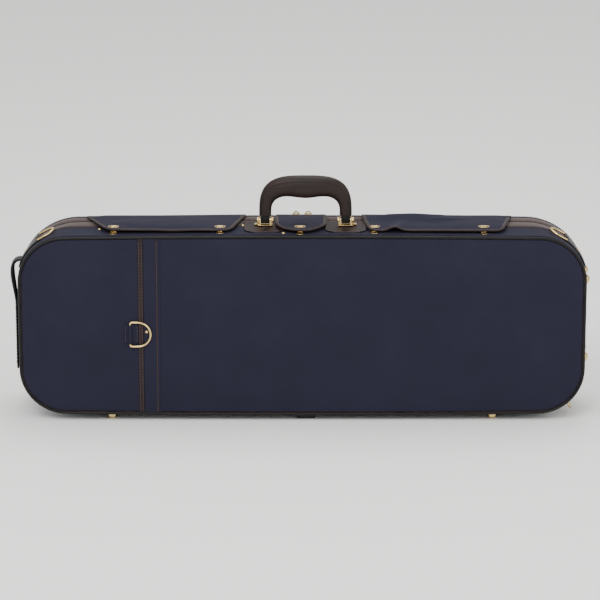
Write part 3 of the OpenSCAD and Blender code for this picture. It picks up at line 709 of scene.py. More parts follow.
def plumped(name, node_name, body, material, voxel, relax):
    """A frame node remeshed and relaxed, so that its edges are round as on covered foam."""
    mesh = merged_copy(node_name)
    made = piece(
        name, mesh, body, material, replaces=[node_name], smooth_angle=180, rides=False
    )
    remesh = made.modifiers.new("skin", "REMESH")
    remesh.mode, remesh.voxel_size, remesh.use_smooth_shade = "VOXEL", voxel * MM, True
    relaxed = made.modifiers.new("relax", "SMOOTH")
    relaxed.factor, relaxed.iterations = 0.5, relax
    apply_modifiers(made)
    made.data.shade_smooth()
    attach(made, body)
    return made


def apply_modifiers(made):
    """Replaces an object's mesh with what its modifiers make of it."""
    bpy.context.view_layer.update()
    graph = bpy.context.evaluated_depsgraph_get()
    data = bpy.data.meshes.new_from_object(made.evaluated_get(graph))
    made.modifiers.clear()
    made.data = data


def wave_noise(x, y, z=0.0):
    return noise.noise(Vector((x, y, z)))


# --- Cloth covers ---


def panel(name, y, sign, dip_to, body, replaces, sizes):
    """A cloth panel inside its piping: flat, rolled down at the seam and slightly puckered."""
    path = rim_path(3)
    steps = [0, 0.5, 1.2, 2.2, 3.6, 5.5, 8, 12, 17, 24, 34, 46]
    pucker = sizes.pucker / MM
    line = [rim_point(spot, y, SEAT) for spot in path]
    marks = distances(line)

    def spot(i, j):
        i %= len(path)
        if j == len(steps):
            edge = rim_point(path[i], y, SEAT + steps[-1])
            limit = FACE_HALF[0] - FACE_HALF[1]
            return Vector((max(-limit, min(limit, edge.x)), y, 0))
        inset = steps[j]
        point = rim_point(path[i], y, SEAT + inset)
        roll = dip_to * math.exp(-inset / 1.5)
        fold = math.sin(marks[i] / 13 + 2 * wave_noise(marks[i] / 60, 3)) * math.exp(-inset / 8)
        swell = wave_noise(point.x / 45, point.z / 45, y)
        point.y += -sign * (roll + pucker * (0.5 + 0.5 * fold) * (1 - math.exp(-inset / 2)))
        point.y += -sign * 0.12 * (0.5 + swell)
        return point

    mesh = bmesh.new()
    surface(mesh, len(path), len(steps), spot, lambda centre: Vector((0, sign, 0)))
    made = piece(name, mesh, body, "woven_polyester", replaces, smooth_angle=180)
    thicken(made, CLOTH)
    return made


class CASE_OT_covers(bpy.types.Operator):
    """Stretch the navy cloth over the base, the lid and the spine"""

    bl_idname = "violin_case.covers"
    bl_label = "Cloth Covers"

    def execute(self, context):
        sizes = context.scene.case_sizes
        panel("face_cloth", Y_FACE, -1, 1.6, "base", ["base_face_cover"], sizes)
        panel("back_cloth", Y_BACK, 1, 1.6, "lid", (), sizes)
        path = rim_path(4)
        spine = spine_path(4)

        def ripple(i, y):
            near = math.exp(-abs(y - Y_FACE - SEAT) / 9)
            near += 0.5 * math.exp(-abs(y - BINDING_START) / 5)
            return -0.16 * near * (1 + math.sin(i * 0.9 + 2 * wave_noise(i / 14, y / 30)))

        def lid_ripple(i, y):
            near = math.exp(-abs(y - Y_BACK + SEAT) / 9)
            return -0.14 * near * (1 + math.sin(i * 0.8 + 2 * wave_noise(i / 15, y / 30)))

        def rows(first, last, count):
            middle = [(mix(first + 1.2, last - 1.2, i / count), 0.0) for i in range(count + 1)]
            return [(first, 1.1), (first + 0.3, 0.35)] + middle + [(last - 0.3, 0.35), (last, 1.1)]

        mesh = bmesh.new()
        swept(mesh, path, rows(Y_FACE + SEAT, BINDING_START - 0.1, 14), True, False, ripple)
        swept(mesh, spine, rows(BINDING_START - 0.1, BASE_END, 10), False, False)
        side = piece("base_side_cloth", mesh, "base", "woven_polyester", ["base_side_cover"], 60)
        thicken(side, CLOTH)
        mesh = bmesh.new()
        swept(mesh, path, rows(LID_TAPE_STOP + 0.1, Y_BACK - SEAT, 16), True, False, lid_ripple)
        swept(mesh, spine, rows(LID_START, LID_TAPE_STOP + 0.1, 6), False, False)
        side = piece("lid_side_cloth", mesh, "lid", "woven_polyester", ["lid_cover"], 60)
        thicken(side, CLOTH)
        return {"FINISHED"}


class CASE_OT_piping(bpy.types.Operator):
    """Sew the leather piping round the two faces"""

    bl_idname = "violin_case.piping"
    bl_label = "Piping"

    def execute(self, context):
        pitch = context.scene.case_sizes.stitch_pitch / MM
        path = rim_path(1.5)
        sides = 10
        for name, y, body, old in (
            ("base_piping_cord", Y_FACE + 1.2, "base", "base_piping"),
            ("lid_piping_cord", Y_BACK - 1.2, "lid", "lid_piping"),
        ):
            marks = distances([rim_point(spot, y, BEAD_RADIUS) for spot in path])

            def spot(i, j, y=y, marks=marks):
                i %= len(path)
                turn = 2 * math.pi * (j % sides) / sides
                nip = 0.05 * math.cos(2 * math.pi * marks[i] / pitch)
                radius = BEAD_RADIUS * (1 + nip) + 0.06 * wave_noise(marks[i] / 20, y)
                return rim_point(
                    path[i], y + radius * math.sin(turn), BEAD_RADIUS - radius * math.cos(turn)
                )

            mesh = bmesh.new()
            surface(mesh, len(path), sides, spot)
            bmesh.ops.recalc_face_normals(mesh, faces=mesh.faces)
            piece(name, mesh, body, "piping_calf", [old], 180)
        return {"FINISHED"}


class CASE_OT_zips(bpy.types.Operator):
    """Lay the zip tapes, their leather binding and every tooth"""

    bl_idname = "violin_case.zips"
    bl_label = "Zips"

    def execute(self, context):
        sizes = context.scene.case_sizes
        path = zip_path(4)
        fine = zip_path(1)

        def strip(name, section, body, material, replaces=()):
            mesh = bmesh.new()
            swept(mesh, path, section, False, True)
            close_ends(mesh)
            return piece(name, mesh, body, material, replaces, 50)

        first, last = BINDING_START, TAPE_START
        strip(
            "zip_binding",
            [(first, 1.15), (first, 0.0), (first + 0.5, -0.5), (first + 1.6, -0.62),
             (first + 3.5, -0.55), (last - 1.6, -0.62), (last - 0.5, -0.5), (last, 0.1),
             (last, 1.15)],
            "base",
            "grained_cowhide",
            ["base_zip_tape"],
        )
        strip(
            "base_tape",
            [(last, 1.15), (last, 0.25), (last + 5, 0.1), (last + 10, 0.25), (TAPE_STOP - 1, 0.2),
             (TAPE_STOP + 0.6, 0.75), (BASE_END - 1.2, 0.85), (BASE_END - 1.2, 1.15)],
            "base",
            "zip_tape",
        )
        start, stop = LID_START + TEETH_WIDTH + 0.2, LID_TAPE_STOP
        strip(
            "lid_tape",
            [(start - 1.2, 1.15), (start - 1.2, 0.85), (start + 1.4, 0.7), (start + 2.6, 0.2),
             (start + 8, 0.1), (stop - 1, 0.2), (stop, 0.4), (stop, 1.15)],
            "lid",
            "zip_tape",
            ["lid_zip_tape"],
        )
        stitches(
            "binding_stitches",
            [rim_row(path, first + 1.5, -0.75), rim_row(path, last - 1.5, -0.75)],
            "base",
            sizes,
        )
        stitches("lid_tape_stitches", [rim_row(path, stop - 1.6, 0.05)], "lid", sizes)
        self.teeth("base_teeth", fine, BASE_END - 1.2, 0.0, "base", "base_zip_teeth", sizes)
        self.teeth("lid_teeth", fine, LID_START + 1.2, 0.5, "lid", "lid_zip_teeth", sizes)
        self.pocket(path, fine, sizes)
        return {"FINISHED"}

    def teeth(self, name, path, y, start, body, old, sizes, half=1.55, inset=0.35):
        """Nylon teeth, one bead for each turn of the coil."""
        line = [rim_point(spot, y, inset) for spot in path]
        marks = distances(line)
        pitch = sizes.tooth_pitch / MM
        mesh = bmesh.new()
        k = 0
        for n in range(int(marks[-1] / pitch - start)):
            at = (n + start + 0.5) * pitch
            while k < len(marks) - 2 and marks[k + 1] < at:
                k += 1
            along = (line[k + 1] - line[k]).normalized()
            axes = (along, Vector((0, 1, 0)), rim_out(path[k]))
            bead(mesh, line[k], axes, (0.34 * pitch, half, 0.75))
        bmesh.ops.recalc_face_normals(mesh, faces=mesh.faces)
        piece(name, mesh, body, "nylon_coil", [old] if old else (), 180)

    def pocket(self, path, fine, sizes):
        """The lid pocket's zip: a narrow tape with its coil on top."""
        low, high = corners("pocket_zip")
        y = (low.y + high.y) / 2
        mesh = bmesh.new()
        swept(
            mesh,
            path,
            [(y - 2.2, 0.2), (y - 2.2, -0.3), (y - 1.2, -0.6), (y + 1.2, -0.6), (y + 2.2, -0.3),
             (y + 2.2, 0.2)],
            False,
            True,
        )
        close_ends(mesh)
        piece("pocket_tape", mesh, "lid", "zip_tape", ["pocket_zip"], 50)
        self.teeth("pocket_teeth", fine, y, 0, "lid", None, sizes, 1.0, -0.55)


def slab(name, low, high, y, thick, body, material, replaces, edge=0.6, swell=0.15):
    """A band of cloth or leather lying on the base's face, with rolled edges and a closed back."""
    rows = 90
    width, height = high[0] - low[0], high[1] - low[1]
    flats = [0, 0.02, 0.06] + [mix(0.12, 0.88, k / 8) for k in range(9)] + [0.94, 0.98, 1]

    def spot(i, j):
        u, v = flats[i], j / rows
        x, z = low[0] + width * u, low[1] + height * v
        side = min(u, 1 - u) * width
        end = min(v, 1 - v) * height
        lift = thick * (1 - math.exp(-(side / edge) ** 2)) * (1 - math.exp(-(end / 2) ** 2) * 0.6)
        lift += swell * (0.5 + wave_noise(x / 9, z / 26, 5)) * min(1, side / 3)
        return Vector((x, y - max(0.02, lift), z))

    mesh = bmesh.new()
    surface(mesh, len(flats) - 1, rows, spot, lambda centre: Vector((0, -1, 0)))
    close_ends(mesh)
    return piece(name, mesh, body, material, replaces, 50)


class CASE_OT_face_strip(bpy.types.Operator):
    """Sew the cloth strip and its leather edge across the base's face"""

    bl_idname = "violin_case.face_strip"
    bl_label = "Face Strip"

    def execute(self, context):
        sizes = context.scene.case_sizes
        low, high = corners("face_strip")
        edge_low, edge_high = corners("strip_edging")
        bottom, top = low.z - MIDDLE_Z - 2.6, high.z - MIDDLE_Z + 2.6
        slab("strip_cloth", (low.x, bottom), (high.x, top), Y_FACE - 0.02, 1.0, "base",
             "woven_polyester", ["face_strip"], 0.5)
        slab("strip_leather_edge", (edge_low.x, bottom), (edge_high.x + 0.4, top), Y_FACE - 0.02,
             1.15, "base", "grained_cowhide", ["strip_edging"], 0.6, 0.05)
        # A narrow leather insert is sewn near the strip's right edge.
        slab("strip_leather_line", (high.x - 6.4, bottom), (high.x - 3.6, top), Y_FACE - 0.9,
             0.5, "base", "grained_cowhide", (), 0.5, 0.03)
        rows = []
        for x in (edge_low.x + 1.5, edge_high.x - 1.4, high.x - 5.0):
            heights = [mix(bottom + 4, top - 4, k / 60) for k in range(61)]
            rows.append([(Vector((x, Y_FACE - 1.32, z)), Vector((0, -1, 0))) for z in heights])
        stitches("strip_stitches", rows, "base", sizes)
        low, high = corners("strip_chape")
        softened("ring_chape", "strip_chape", "base", "woven_polyester", 0.3)
        rows = [
            [(Vector((x, Y_FACE - 1.2, z)), Vector((0, -1, 0)))
             for z in (low.z - MIDDLE_Z + 2, high.z - MIDDLE_Z - 2)]
            for x in (high.x - 1.6, low.x + 1.4)
        ]
        stitches("chape_stitches", rows, "base", sizes)
        softened("brass_rivets", "rivets", "base", "polished_brass", 0.1)
        self.small_rivets()
        return {"FINISHED"}

    def small_rivets(self):
        """Small brass rivets on the band beside the flaps."""
        mesh = bmesh.new()
        dome, rim_low, rim_high, seat = 2.2, 2.7, 2.5, 0.7
        for x, y in ((-281.5, Y_FACE + 33), (-82.7, Y_FACE + 45), (-26.3, Y_FACE + 12)):
            turn = Matrix.Translation(place((x, y, top_z(x, y) + seat)))
            bmesh.ops.create_uvsphere(
                mesh, u_segments=16, v_segments=8, radius=1,
                matrix=turn @ Matrix.Diagonal((dome * MM, dome * MM, dome / 2 * MM, 1)),
            )
            bmesh.ops.create_cone(
                mesh, cap_ends=True, segments=16, radius1=rim_low * MM, radius2=rim_high * MM,
                depth=0.9 * MM, matrix=turn @ Matrix.Translation((0, 0, -0.5 * MM)),
            )
        piece("band_rivets", mesh, "base", "polished_brass", smooth_angle=40)


class CASE_OT_leather(bpy.types.Operator):
    """Make the corner tabs, the end handle and the handle's patches"""

    bl_idname = "violin_case.leather"
    bl_label = "Leather Tabs and Straps"

    def execute(self, context):
        sizes = context.scene.case_sizes
        softened("corner_tabs", "strap_tabs", "base", "piping_calf", 0.35)
        self.end_strap(sizes)
        self.patches(sizes)
        roots = softened("flap_hinge_leather", "flap_roots", "lid", "grained_cowhide", 0.7)
        right = FLAPS["right"]["root"][1] * MM
        for vertex in roots.data.vertices:
            vertex.co.x = min(vertex.co.x, right)
            vertex.co.z -= end_drop(vertex.co.x / MM) * MM
        return {"FINISHED"}

    def end_strap(self, sizes):
        """The end handle: a padded strap, sewn down below and curled in to the corner."""
        low, high = corners("end_handle")
        bottom, top = low.z - MIDDLE_Z, 92.0
        thick, gap = 3.0, 0.7
        bow_from, bow_out = top - 68, 16
        y0, half = (low.y + high.y) / 2, (high.y - low.y) / 2
        middle = station(high.y)[0] + gap + thick / 2
        sewn, free, sides = 34, 46, 20
        curve = [
            (middle, bow_from),
            (middle, top - 42),
            (middle + bow_out, top - 2),
            (middle - 9, top - 3.6),
        ]

        def line(j):
            if j < sewn:
                return Vector((-middle, y0, mix(bottom, bow_from, j / sewn)))
            u = (j - sewn) / free
            weights = ((1 - u) ** 3, 3 * u * (1 - u) ** 2, 3 * u * u * (1 - u), u**3)
            x = sum(w * p[0] for w, p in zip(weights, curve))
            z = sum(w * p[1] for w, p in zip(weights, curve))
            return Vector((-x, y0, z))

        steps = sewn + free

        def outward(j):
            along = (line(min(steps, j + 1)) - line(max(0, j - 1))).normalized()
            return Vector((-along.z, 0, along.x))

        def spot(i, j):
            i %= sides
            turn = 2 * math.pi * i / sides
            c, s = math.cos(turn), math.sin(turn)
            round_end = min(1.0, math.sqrt(max(0.02, j / 4)))
            across = half * math.copysign(abs(c) ** 0.35, c) * (0.8 + 0.2 * round_end)
            # The padding swells in the part that the hand holds.
            swell = 1 + 0.8 * max(0.0, math.sin(math.pi * (j - sewn) / free)) if j > sewn else 1
            raised = thick / 2 * swell * math.copysign(abs(s) ** 0.6, s)
            return line(j) + Vector((0, across, 0)) + outward(j) * raised

        mesh = bmesh.new()
        surface(mesh, sides, steps, spot)
        close_ends(mesh)
        piece("end_handle_strap", mesh, "base", "piping_calf", ["end_handle"], 70)
        rows = []
        for side in (-1, 1):
            rows.append(
                [
                    (line(j) + Vector((0, side * (half - 2.4), 0)) + outward(j) * (thick / 2),
                     outward(j))
                    for j in range(3, steps - 4)
                ]
            )
        stitches("end_handle_stitches", rows, "base", sizes)

    def patches(self, sizes):
        """Leather patches under the handle's brackets, with turned and sewn edges."""
        low, high = corners("handle_patches")
        y0, y1 = low.y, high.y
        half, turn = 30.0, 16.0
        # Columns and rows crowd towards the patch's rim, where its edge is turned.
        us = [0, 0.006, 0.02, 0.04, 0.06] + [mix(0.1, 0.9, k / 12) for k in range(13)]
        us += [0.94, 0.96, 0.98, 0.994, 1]
        vs = [0, 0.01, 0.03, 0.05, 0.08] + [mix(0.12, 0.88, k / 10) for k in range(11)]
        vs += [0.92, 0.95, 0.97, 0.99, 1]
        rows, mesh = [], bmesh.new()
        for side in (-1, 1):
            middle = HANDLE_X + side * LEG_AT
            x0, x1 = middle - half, middle + half

            def height(x, y, y0=y0, y1=y1, x0=x0, x1=x1):
                edge = min(x - x0, x1 - x, y - y0, y1 - y)
                rim = 0.5 * math.exp(-(((edge - 1.6) / 1.3) ** 2))
                body = 0.75 + 1.0 * (1 - math.exp(-(max(0, edge) / 0.8) ** 2)) * 0.6
                return top_z(x, y) + body + rim - 0.4 * math.exp(-edge / 0.5)

            def spot(i, j, x0=x0, x1=x1, height=height):
                y = mix(y0, y1, vs[j])
                near = max(0.0, turn - (y - y0))
                pull = turn - math.sqrt(turn**2 - near**2)
                x = mix(x0 + pull, x1 - pull, us[i])
                return Vector((x, y, height(x, y)))

            surface(mesh, len(us) - 1, len(vs) - 1, spot, lambda centre: Vector((0, 0, 1)))
            inset = 3.4
            bend = turn - inset
            loop = [(x0 + inset, y1 - 1)]
            for centre, first in ((x0 + turn, 180), (x1 - turn, 270)):
                for k in range(7):
                    a = math.radians(first + 15 * k)
                    loop.append((centre + bend * math.cos(a), y0 + turn + bend * math.sin(a)))
            loop.append((x1 - inset, y1 - 1))
            row = []
            for (ax, ay), (bx, by) in zip(loop, loop[1:]):
                points = [(mix(ax, bx, k / 8), mix(ay, by, k / 8)) for k in range(9)]
                row += [
                    (Vector((x, y, height(x, y) + 0.05)), Vector((0, 0, 1))) for x, y in points
                ]
            rows.append(row)
        close_ends(mesh)
        piece("bracket_patches", mesh, "base", "grained_cowhide", ["handle_patches"], 60)
        stitches("patch_stitches", rows, "base", sizes)


# --- Carrying handle ---

GRIP_LOW, GRIP_HIGH = corners("handle_grip")
HANDLE_X = (GRIP_LOW.x + GRIP_HIGH.x) / 2
HANDLE_Y = (GRIP_LOW.y + GRIP_HIGH.y) / 2
HANDLE_W = GRIP_HIGH.x - GRIP_LOW.x
LEG_W = 17.0
LEG_AT = (HANDLE_W - LEG_W) / 2


class CASE_OT_handle(bpy.types.Operator):
    """Mould the carrying handle and set its brackets and pins"""

    bl_idname = "violin_case.handle"
    bl_label = "Carrying Handle"

    def execute(self, context):
        sections, sides = 110, 40
        height = GRIP_HIGH.z - GRIP_LOW.z
        inner = 30.0
        foot = GRIP_LOW.z - MIDDLE_Z + 0.2

        def arch(half, tall, u):
            c, s = -math.cos(math.pi * u), math.sin(math.pi * u)
            power = 2 / 3.2
            return Vector((half * math.copysign(abs(c) ** power, c), tall * max(0, s) ** power))

        def spot(i, j):
            i %= sides
            # Steps crowd towards the legs' feet, where the arch runs straight up.
            u = 0.5 - 0.5 * math.cos(math.pi * j / sections)
            u = mix(u, j / sections, 0.35)
            outer = arch(HANDLE_W / 2, height, u)
            inside = arch(HANDLE_W / 2 - LEG_W, inner, u)
            inside.y -= 6 * math.exp(-((inside.x / 26) ** 2))
            middle, out = (outer + inside) / 2, (outer - inside) / 2
            half = mix(6.5, 11, math.sin(math.pi * u) ** 2)
            turn = 2 * math.pi * i / sides
            c, s = math.cos(turn), math.sin(turn)
            depth = out.length * (1 - c)
            # The cover's seam stands up as a welt that follows the outer edge.
            welt = 1.0 * math.exp(-(((depth - 5.4) / 0.9) ** 2))
            groove = -0.7 * math.exp(-(((depth - 7.6) / 1.3) ** 2))
            flatten = math.copysign(abs(s) ** 0.85, s)
            thick = half * flatten + math.copysign(1, s) * (welt + groove) * min(1, abs(s) * 1.6)
            x = middle.x + out.x * c
            z = middle.y + out.y * c
            lump = 0.25 * wave_noise(x / 16, z / 16, s * 2)
            return Vector((HANDLE_X + x, HANDLE_Y + thick + lump * s, foot + z))

        mesh = bmesh.new()
        surface(mesh, sides, sections, spot)
        close_ends(mesh)
        piece("grip_leather_cover", mesh, "handle", "pebbled_grip_leather", ["handle_grip"], 70)
        softened("grip_ends", "handle_ends", "handle", "piping_calf", 0.4)
        softened("grip_brackets", "handle_brackets", "base", "polished_brass", 0.35)
        softened("grip_pins", "handle_pins", "base", "polished_brass", 0.5)
        return {"FINISHED"}


# --- Flaps ---

FLAPS = {
    "left": {"root": (-303, -78), "edge": (-272, -98), "locks": (0, 1)},
    "middle": {"root": (-38, 34), "edge": None, "locks": (2,)},
    "right": {"root": (82, 293), "edge": (92, 279), "locks": (3, 4)},
}
ROUND = 12.0  # radius of the outer flaps' corners
TIP_X, TIP_FROM, TIP_HALF, TIP_REACH = -2, 46, 36, 39.0  # the middle flap's round tip
EDGE_IN = 1.2  # how far the cloth stops inside the flap's outline
SEAM_IN = 3.4


def flap_sides(name, d):
    """The flap's left and right x at distance d behind the base's face."""
    flap = FLAPS[name]
    if flap["edge"] is None:
        t = max(0.0, TIP_FROM - d)
        if t > 0:
            half = TIP_HALF * math.sqrt(max(0.0, 1 - (t / TIP_REACH) ** 2))
            return TIP_X - half, TIP_X + half
        return flap["root"]
    s = (FLAP_HINGE - d) / (FLAP_HINGE - FLAP_EDGE)
    left, right = (mix(root, edge, s) for root, edge in zip(flap["root"], flap["edge"]))
    near = d - FLAP_EDGE
    if near < ROUND:
        pull = ROUND - math.sqrt(max(0.0, ROUND**2 - (ROUND - near) ** 2))
        left, right = left + pull, right - pull
    return left, right


def flap_near(name):
    return TIP_FROM - TIP_REACH if name == "middle" else FLAP_EDGE


def bump(value, centre, width):
    return math.exp(-(((value - centre) / width) ** 2))


def end_drop(x):
    """How far the outer ends of the flaps sink towards the case."""
    t = min(1.0, max(0.0, (abs(x) - 272) / 30))
    return 2.4 * t * t * (3 - 2 * t)


def flap_lift(name, x, d):
    """How far the flap's cloth stands above its flat plane: soft puffs, pressed down at the locks,
    and a free edge that sags onto the band between them."""
    press = 1.0
    for index in FLAPS[name]["locks"]:
        away = math.hypot((x - LOCKS[index]) / 1.3, d - LOCK_DEPTH)
        press = min(press, 1 - math.exp(-((away / 15) ** 2)))
    lift = 0.35 + 0.5 * wave_noise(x / 34, d / 30, 2) + 0.35 * wave_noise(x / 13, d / 17, 7)
    near = flap_near(name)
    sag = bump(d, near, 13)
    if name == "middle":
        around = math.hypot(x - LOCKS[2], d - LOCK_DEPTH)
        lift += 1.6 * bump(d, 60, 17) * bump(x, -2, 30) + 0.8 * bump(around, 15, 4.5)
        drop = 0.7 * sag
    if name == "right":
        # The cloth has buckled: one fold runs in from the free edge and one lies along the hinge.
        fold = bump(x, 128 + 0.35 * (d - 12), 10)
        lift += 3.2 * fold * bump(d, 16, 34) + 5.2 * bump(x, 152, 58) * bump(d, 72, 15)
        lift += 1.9 * bump(d, 58 + 0.1 * (x - 190), 5) * bump(x, 195, 26)
        drop = 2.4 * sag * (1 - fold)
    if name == "left":
        lift += 1.2 * bump(x, -188, 60) * bump(d, 50, 26)
        drop = 2.2 * sag * (0.7 + 0.3 * math.sin((x + 230) / 40))
    hinge = 1 - bump(FLAP_HINGE - d, 0, 5)
    return max(0, lift) * press * hinge - drop * (1 - (1 - press) ** 2) - end_drop(x)


class CASE_OT_flaps(bpy.types.Operator):
    """Make the three cloth flaps, their leather edging, eyelets and turn buttons"""

    bl_idname = "violin_case.flaps"
    bl_label = "Flaps and Locks"

    def execute(self, context):
        sizes = context.scene.case_sizes
        for name in FLAPS:
            self.cloth(name)
            self.edging(name, sizes)
            softened(f"eyelet_{name}", f"eyelets_{name}", f"flap_{name}", "polished_brass", 0.25)
        for number in range(1, 6):
            softened(
                f"turn_knob_{number}", f"turn_button_{number}", f"button_{number}",
                "polished_brass", 0.3,
            )
        softened("lock_bases", "lock_plates", "base", "polished_brass", 0.2)
        return {"FINISHED"}

    def cloth(self, name):
        near = flap_near(name) + EDGE_IN
        far = FLAP_HINGE - 0.4
        wide = FLAPS[name]["root"][1] - FLAPS[name]["root"][0]
        columns, rows = max(48, int(wide / 1.3)), 54

        def spot(i, j):
            # Rows crowd towards the free edge, where the outline curves.
            d = mix(near, far, (j / rows) ** 1.25)
            left, right = flap_sides(name, d)
            x = mix(left + EDGE_IN, right - EDGE_IN, i / columns)
            return Vector((x, Y_FACE + d, FLAP_Z + 1.75 + flap_lift(name, x, d)))

        mesh = bmesh.new()
        surface(mesh, columns, rows, spot, lambda centre: Vector((0, 0, 1)))
        holes = []
        for face in mesh.faces:
            centre = face.calc_center_median() / MM
            for index in FLAPS[name]["locks"]:
                dx, dy = centre.x - LOCKS[index], centre.y - LOCK_Y
                if (dx / 6.4) ** 2 + (dy / 3.9) ** 2 < 1:
                    holes.append(face)
        bmesh.ops.delete(mesh, geom=holes, context="FACES")
        made = piece(
            f"flap_cloth_{name}", mesh, f"flap_{name}", "woven_polyester", [f"flap_{name}"], 180
        )
        thicken(made, 1.7)

    def outline(self, name):
        """The flap's free outline from its left root round to its right root, with the way out."""
        near, far = flap_near(name), FLAP_HINGE - 6
        count = 90
        depths = [near + (far - near) * (k / count) ** 2.2 for k in range(count + 1)]
        left = [Vector((flap_sides(name, d)[0], Y_FACE + d, 0)) for d in reversed(depths)]
        right = [Vector((flap_sides(name, d)[1], Y_FACE + d, 0)) for d in depths]
        gap = (right[0] - left[-1]).length
        parts = max(1, round(gap / 3))
        between = [left[-1].lerp(right[0], k / parts) for k in range(1, parts)]
        line = left + between + right
        kept = [line[0]]
        for point in line[1:]:
            if (point - kept[-1]).length > 1.1:
                kept.append(point)
        outs = []
        for k in range(len(kept)):
            along = (kept[min(len(kept) - 1, k + 1)] - kept[max(0, k - 1)]).normalized()
            outs.append(Vector((along.y, -along.x, 0)))
        return kept, outs

    def edging(self, name, sizes):
        line, outs = self.outline(name)
        # Across the leather: from under its inner edge, over the top and round the outside.
        section = [(-5.0, 1.3), (-5.0, 2.0), (-4.5, 2.35), (-2.6, 2.5), (-1.0, 2.45), (-0.2, 2.0),
                   (0.0, 1.1), (-0.2, 0.3), (-1.0, -0.05), (-4.5, 0.0), (-5.0, 0.4)]

        def spot(i, j):
            out, up = section[j % len(section)]
            point = line[i] + outs[i] * out
            lift = flap_lift(name, line[i].x, line[i].y - Y_FACE)
            return Vector((point.x, point.y, FLAP_Z + up + lift))

        mesh = bmesh.new()
        surface(mesh, len(line) - 1, len(section), spot)
        close_ends(mesh)
        piece(
            f"flap_leather_{name}", mesh, f"flap_{name}", "grained_cowhide",
            [f"flap_edging_{name}"], 60,
        )
        row = []
        for point, out in zip(line, outs):
            inner = point + out * -SEAM_IN
            lift = flap_lift(name, point.x, point.y - Y_FACE)
            row.append((Vector((inner.x, inner.y, FLAP_Z + 2.55 + lift)), Vector((0, 0, 1))))
        stitches(f"flap_stitches_{name}", [row], f"flap_{name}", sizes)


# --- Rings, sliders, feet and hinges ---


def ring_mesh(node_name, body, name, plating=0.25):
    """A drawn wire D-ring: the frame's ring plated, and with its facets rounded."""
    mesh = bmesh.new()
    mesh.from_mesh(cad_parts[node_name].data)
    bmesh.ops.remove_doubles(mesh, verts=mesh.verts, dist=NODE_WELD)
    bmesh.ops.join_triangles(
        mesh, faces=mesh.faces, angle_face_threshold=0.7, angle_shape_threshold=0.9
    )
    mesh.normal_update()
    for vertex in mesh.verts:
        vertex.co += vertex.normal * plating * MM
    made = piece(name, mesh, body, "polished_brass", [node_name], 180)
    smooth = made.modifiers.new("round", "SUBSURF")
    smooth.levels = smooth.render_levels = 1
    return made


class CASE_OT_fittings(bpy.types.Operator):
    """Hang the rings and set the sliders, feet and hinges"""

    bl_idname = "violin_case.fittings"
    bl_label = "Rings, Sliders, Feet and Hinges"

    def execute(self, context):
        for name in ("strap_ring_left", "strap_ring_right", "face_ring", "corner_ring"):
            ring_mesh(name, name, name + "_wire")
        for kind, edge in (("zip_slider", 0.15), ("pocket_slider", 0.3)):
            for name in (kind + "_left", kind + "_right"):
                softened(name + "_body", name, name, "polished_brass", edge)
        softened("spine_feet_base", "base_feet", "base", "polished_brass", 0.2)
        softened("spine_feet_lid", "lid_feet", "lid", "polished_brass", 0.2)
        softened("rubber_foot", "centre_foot", "base", "moulded_rubber", 1.2)
        softened("hinge_leaves_base", "base_hinge_leaves", "base", "polished_brass", 0.2)
        softened("hinge_leaves_lid", "lid_hinge_leaves", "lid", "polished_brass", 0.2)
        softened("hinge_rods", "hinge_pins", "base", "drawn_steel", 0.1)
        return {"FINISHED"}


# --- Inside ---


def puff(made, frames, cap):
    """Swells a remeshed cushion with the cloth solver and keeps each point within cap."""
    before = [v.co.copy() for v in made.data.vertices]
    cloth = made.modifiers.new("air", "CLOTH")
    cloth.settings.use_pressure = True
    cloth.settings.uniform_pressure_force = 4
    cloth.settings.effector_weights.gravity = 0
    cloth.point_cache.frame_start, cloth.point_cache.frame_end = 1, frames
    scene = bpy.context.scene
    for number in range(1, frames + 1):
        scene.frame_set(number)
    apply_modifiers(made)
    for vertex, start in zip(made.data.vertices, before):
        moved = vertex.co - start
        if moved.length > cap * MM:
            vertex.co = start + moved.normalized() * cap * MM
    scene.frame_set(1)


class CASE_OT_inside(bpy.types.Operator):
    """Line the base and the lid with plush and fill the cushions"""

    bl_idname = "violin_case.inside"
    bl_label = "Plush Inside"

    def execute(self, context):
        for body, voxel, relax in (("base", 3.4, 6), ("lid", 3.2, 4)):
            plush = plumped(body + "_plush", body + "_lining", body, "cotton_plush", voxel, relax)
        pads = plumped("violin_cushions", "cushions", "base", "cotton_plush", 3.0, 5)
        puff(pads, 14, 2.0)
        swell = pads.modifiers.new("finer", "SUBSURF")
        swell.levels = swell.render_levels = 1
        softened("accessory_board", "accessory_lid", "accessory_lid", "cotton_plush", 0.8)
        softened("bow_sleeves", "bow_loops", "lid", "cotton_plush", 0.8)
        for end in ("upper", "lower"):
            knob = "bow_spinner_" + end
            softened("bow_spinner_knob_" + end, knob, knob, "grained_cowhide", 1.0)
        for name in ("base_shell", "lid_shell"):
            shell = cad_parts[name]
            shell.data.materials.clear()
            shell.data.materials.append(MATERIALS["poplar_laminate"])
        return {"FINISHED"}


# --- Stage ---


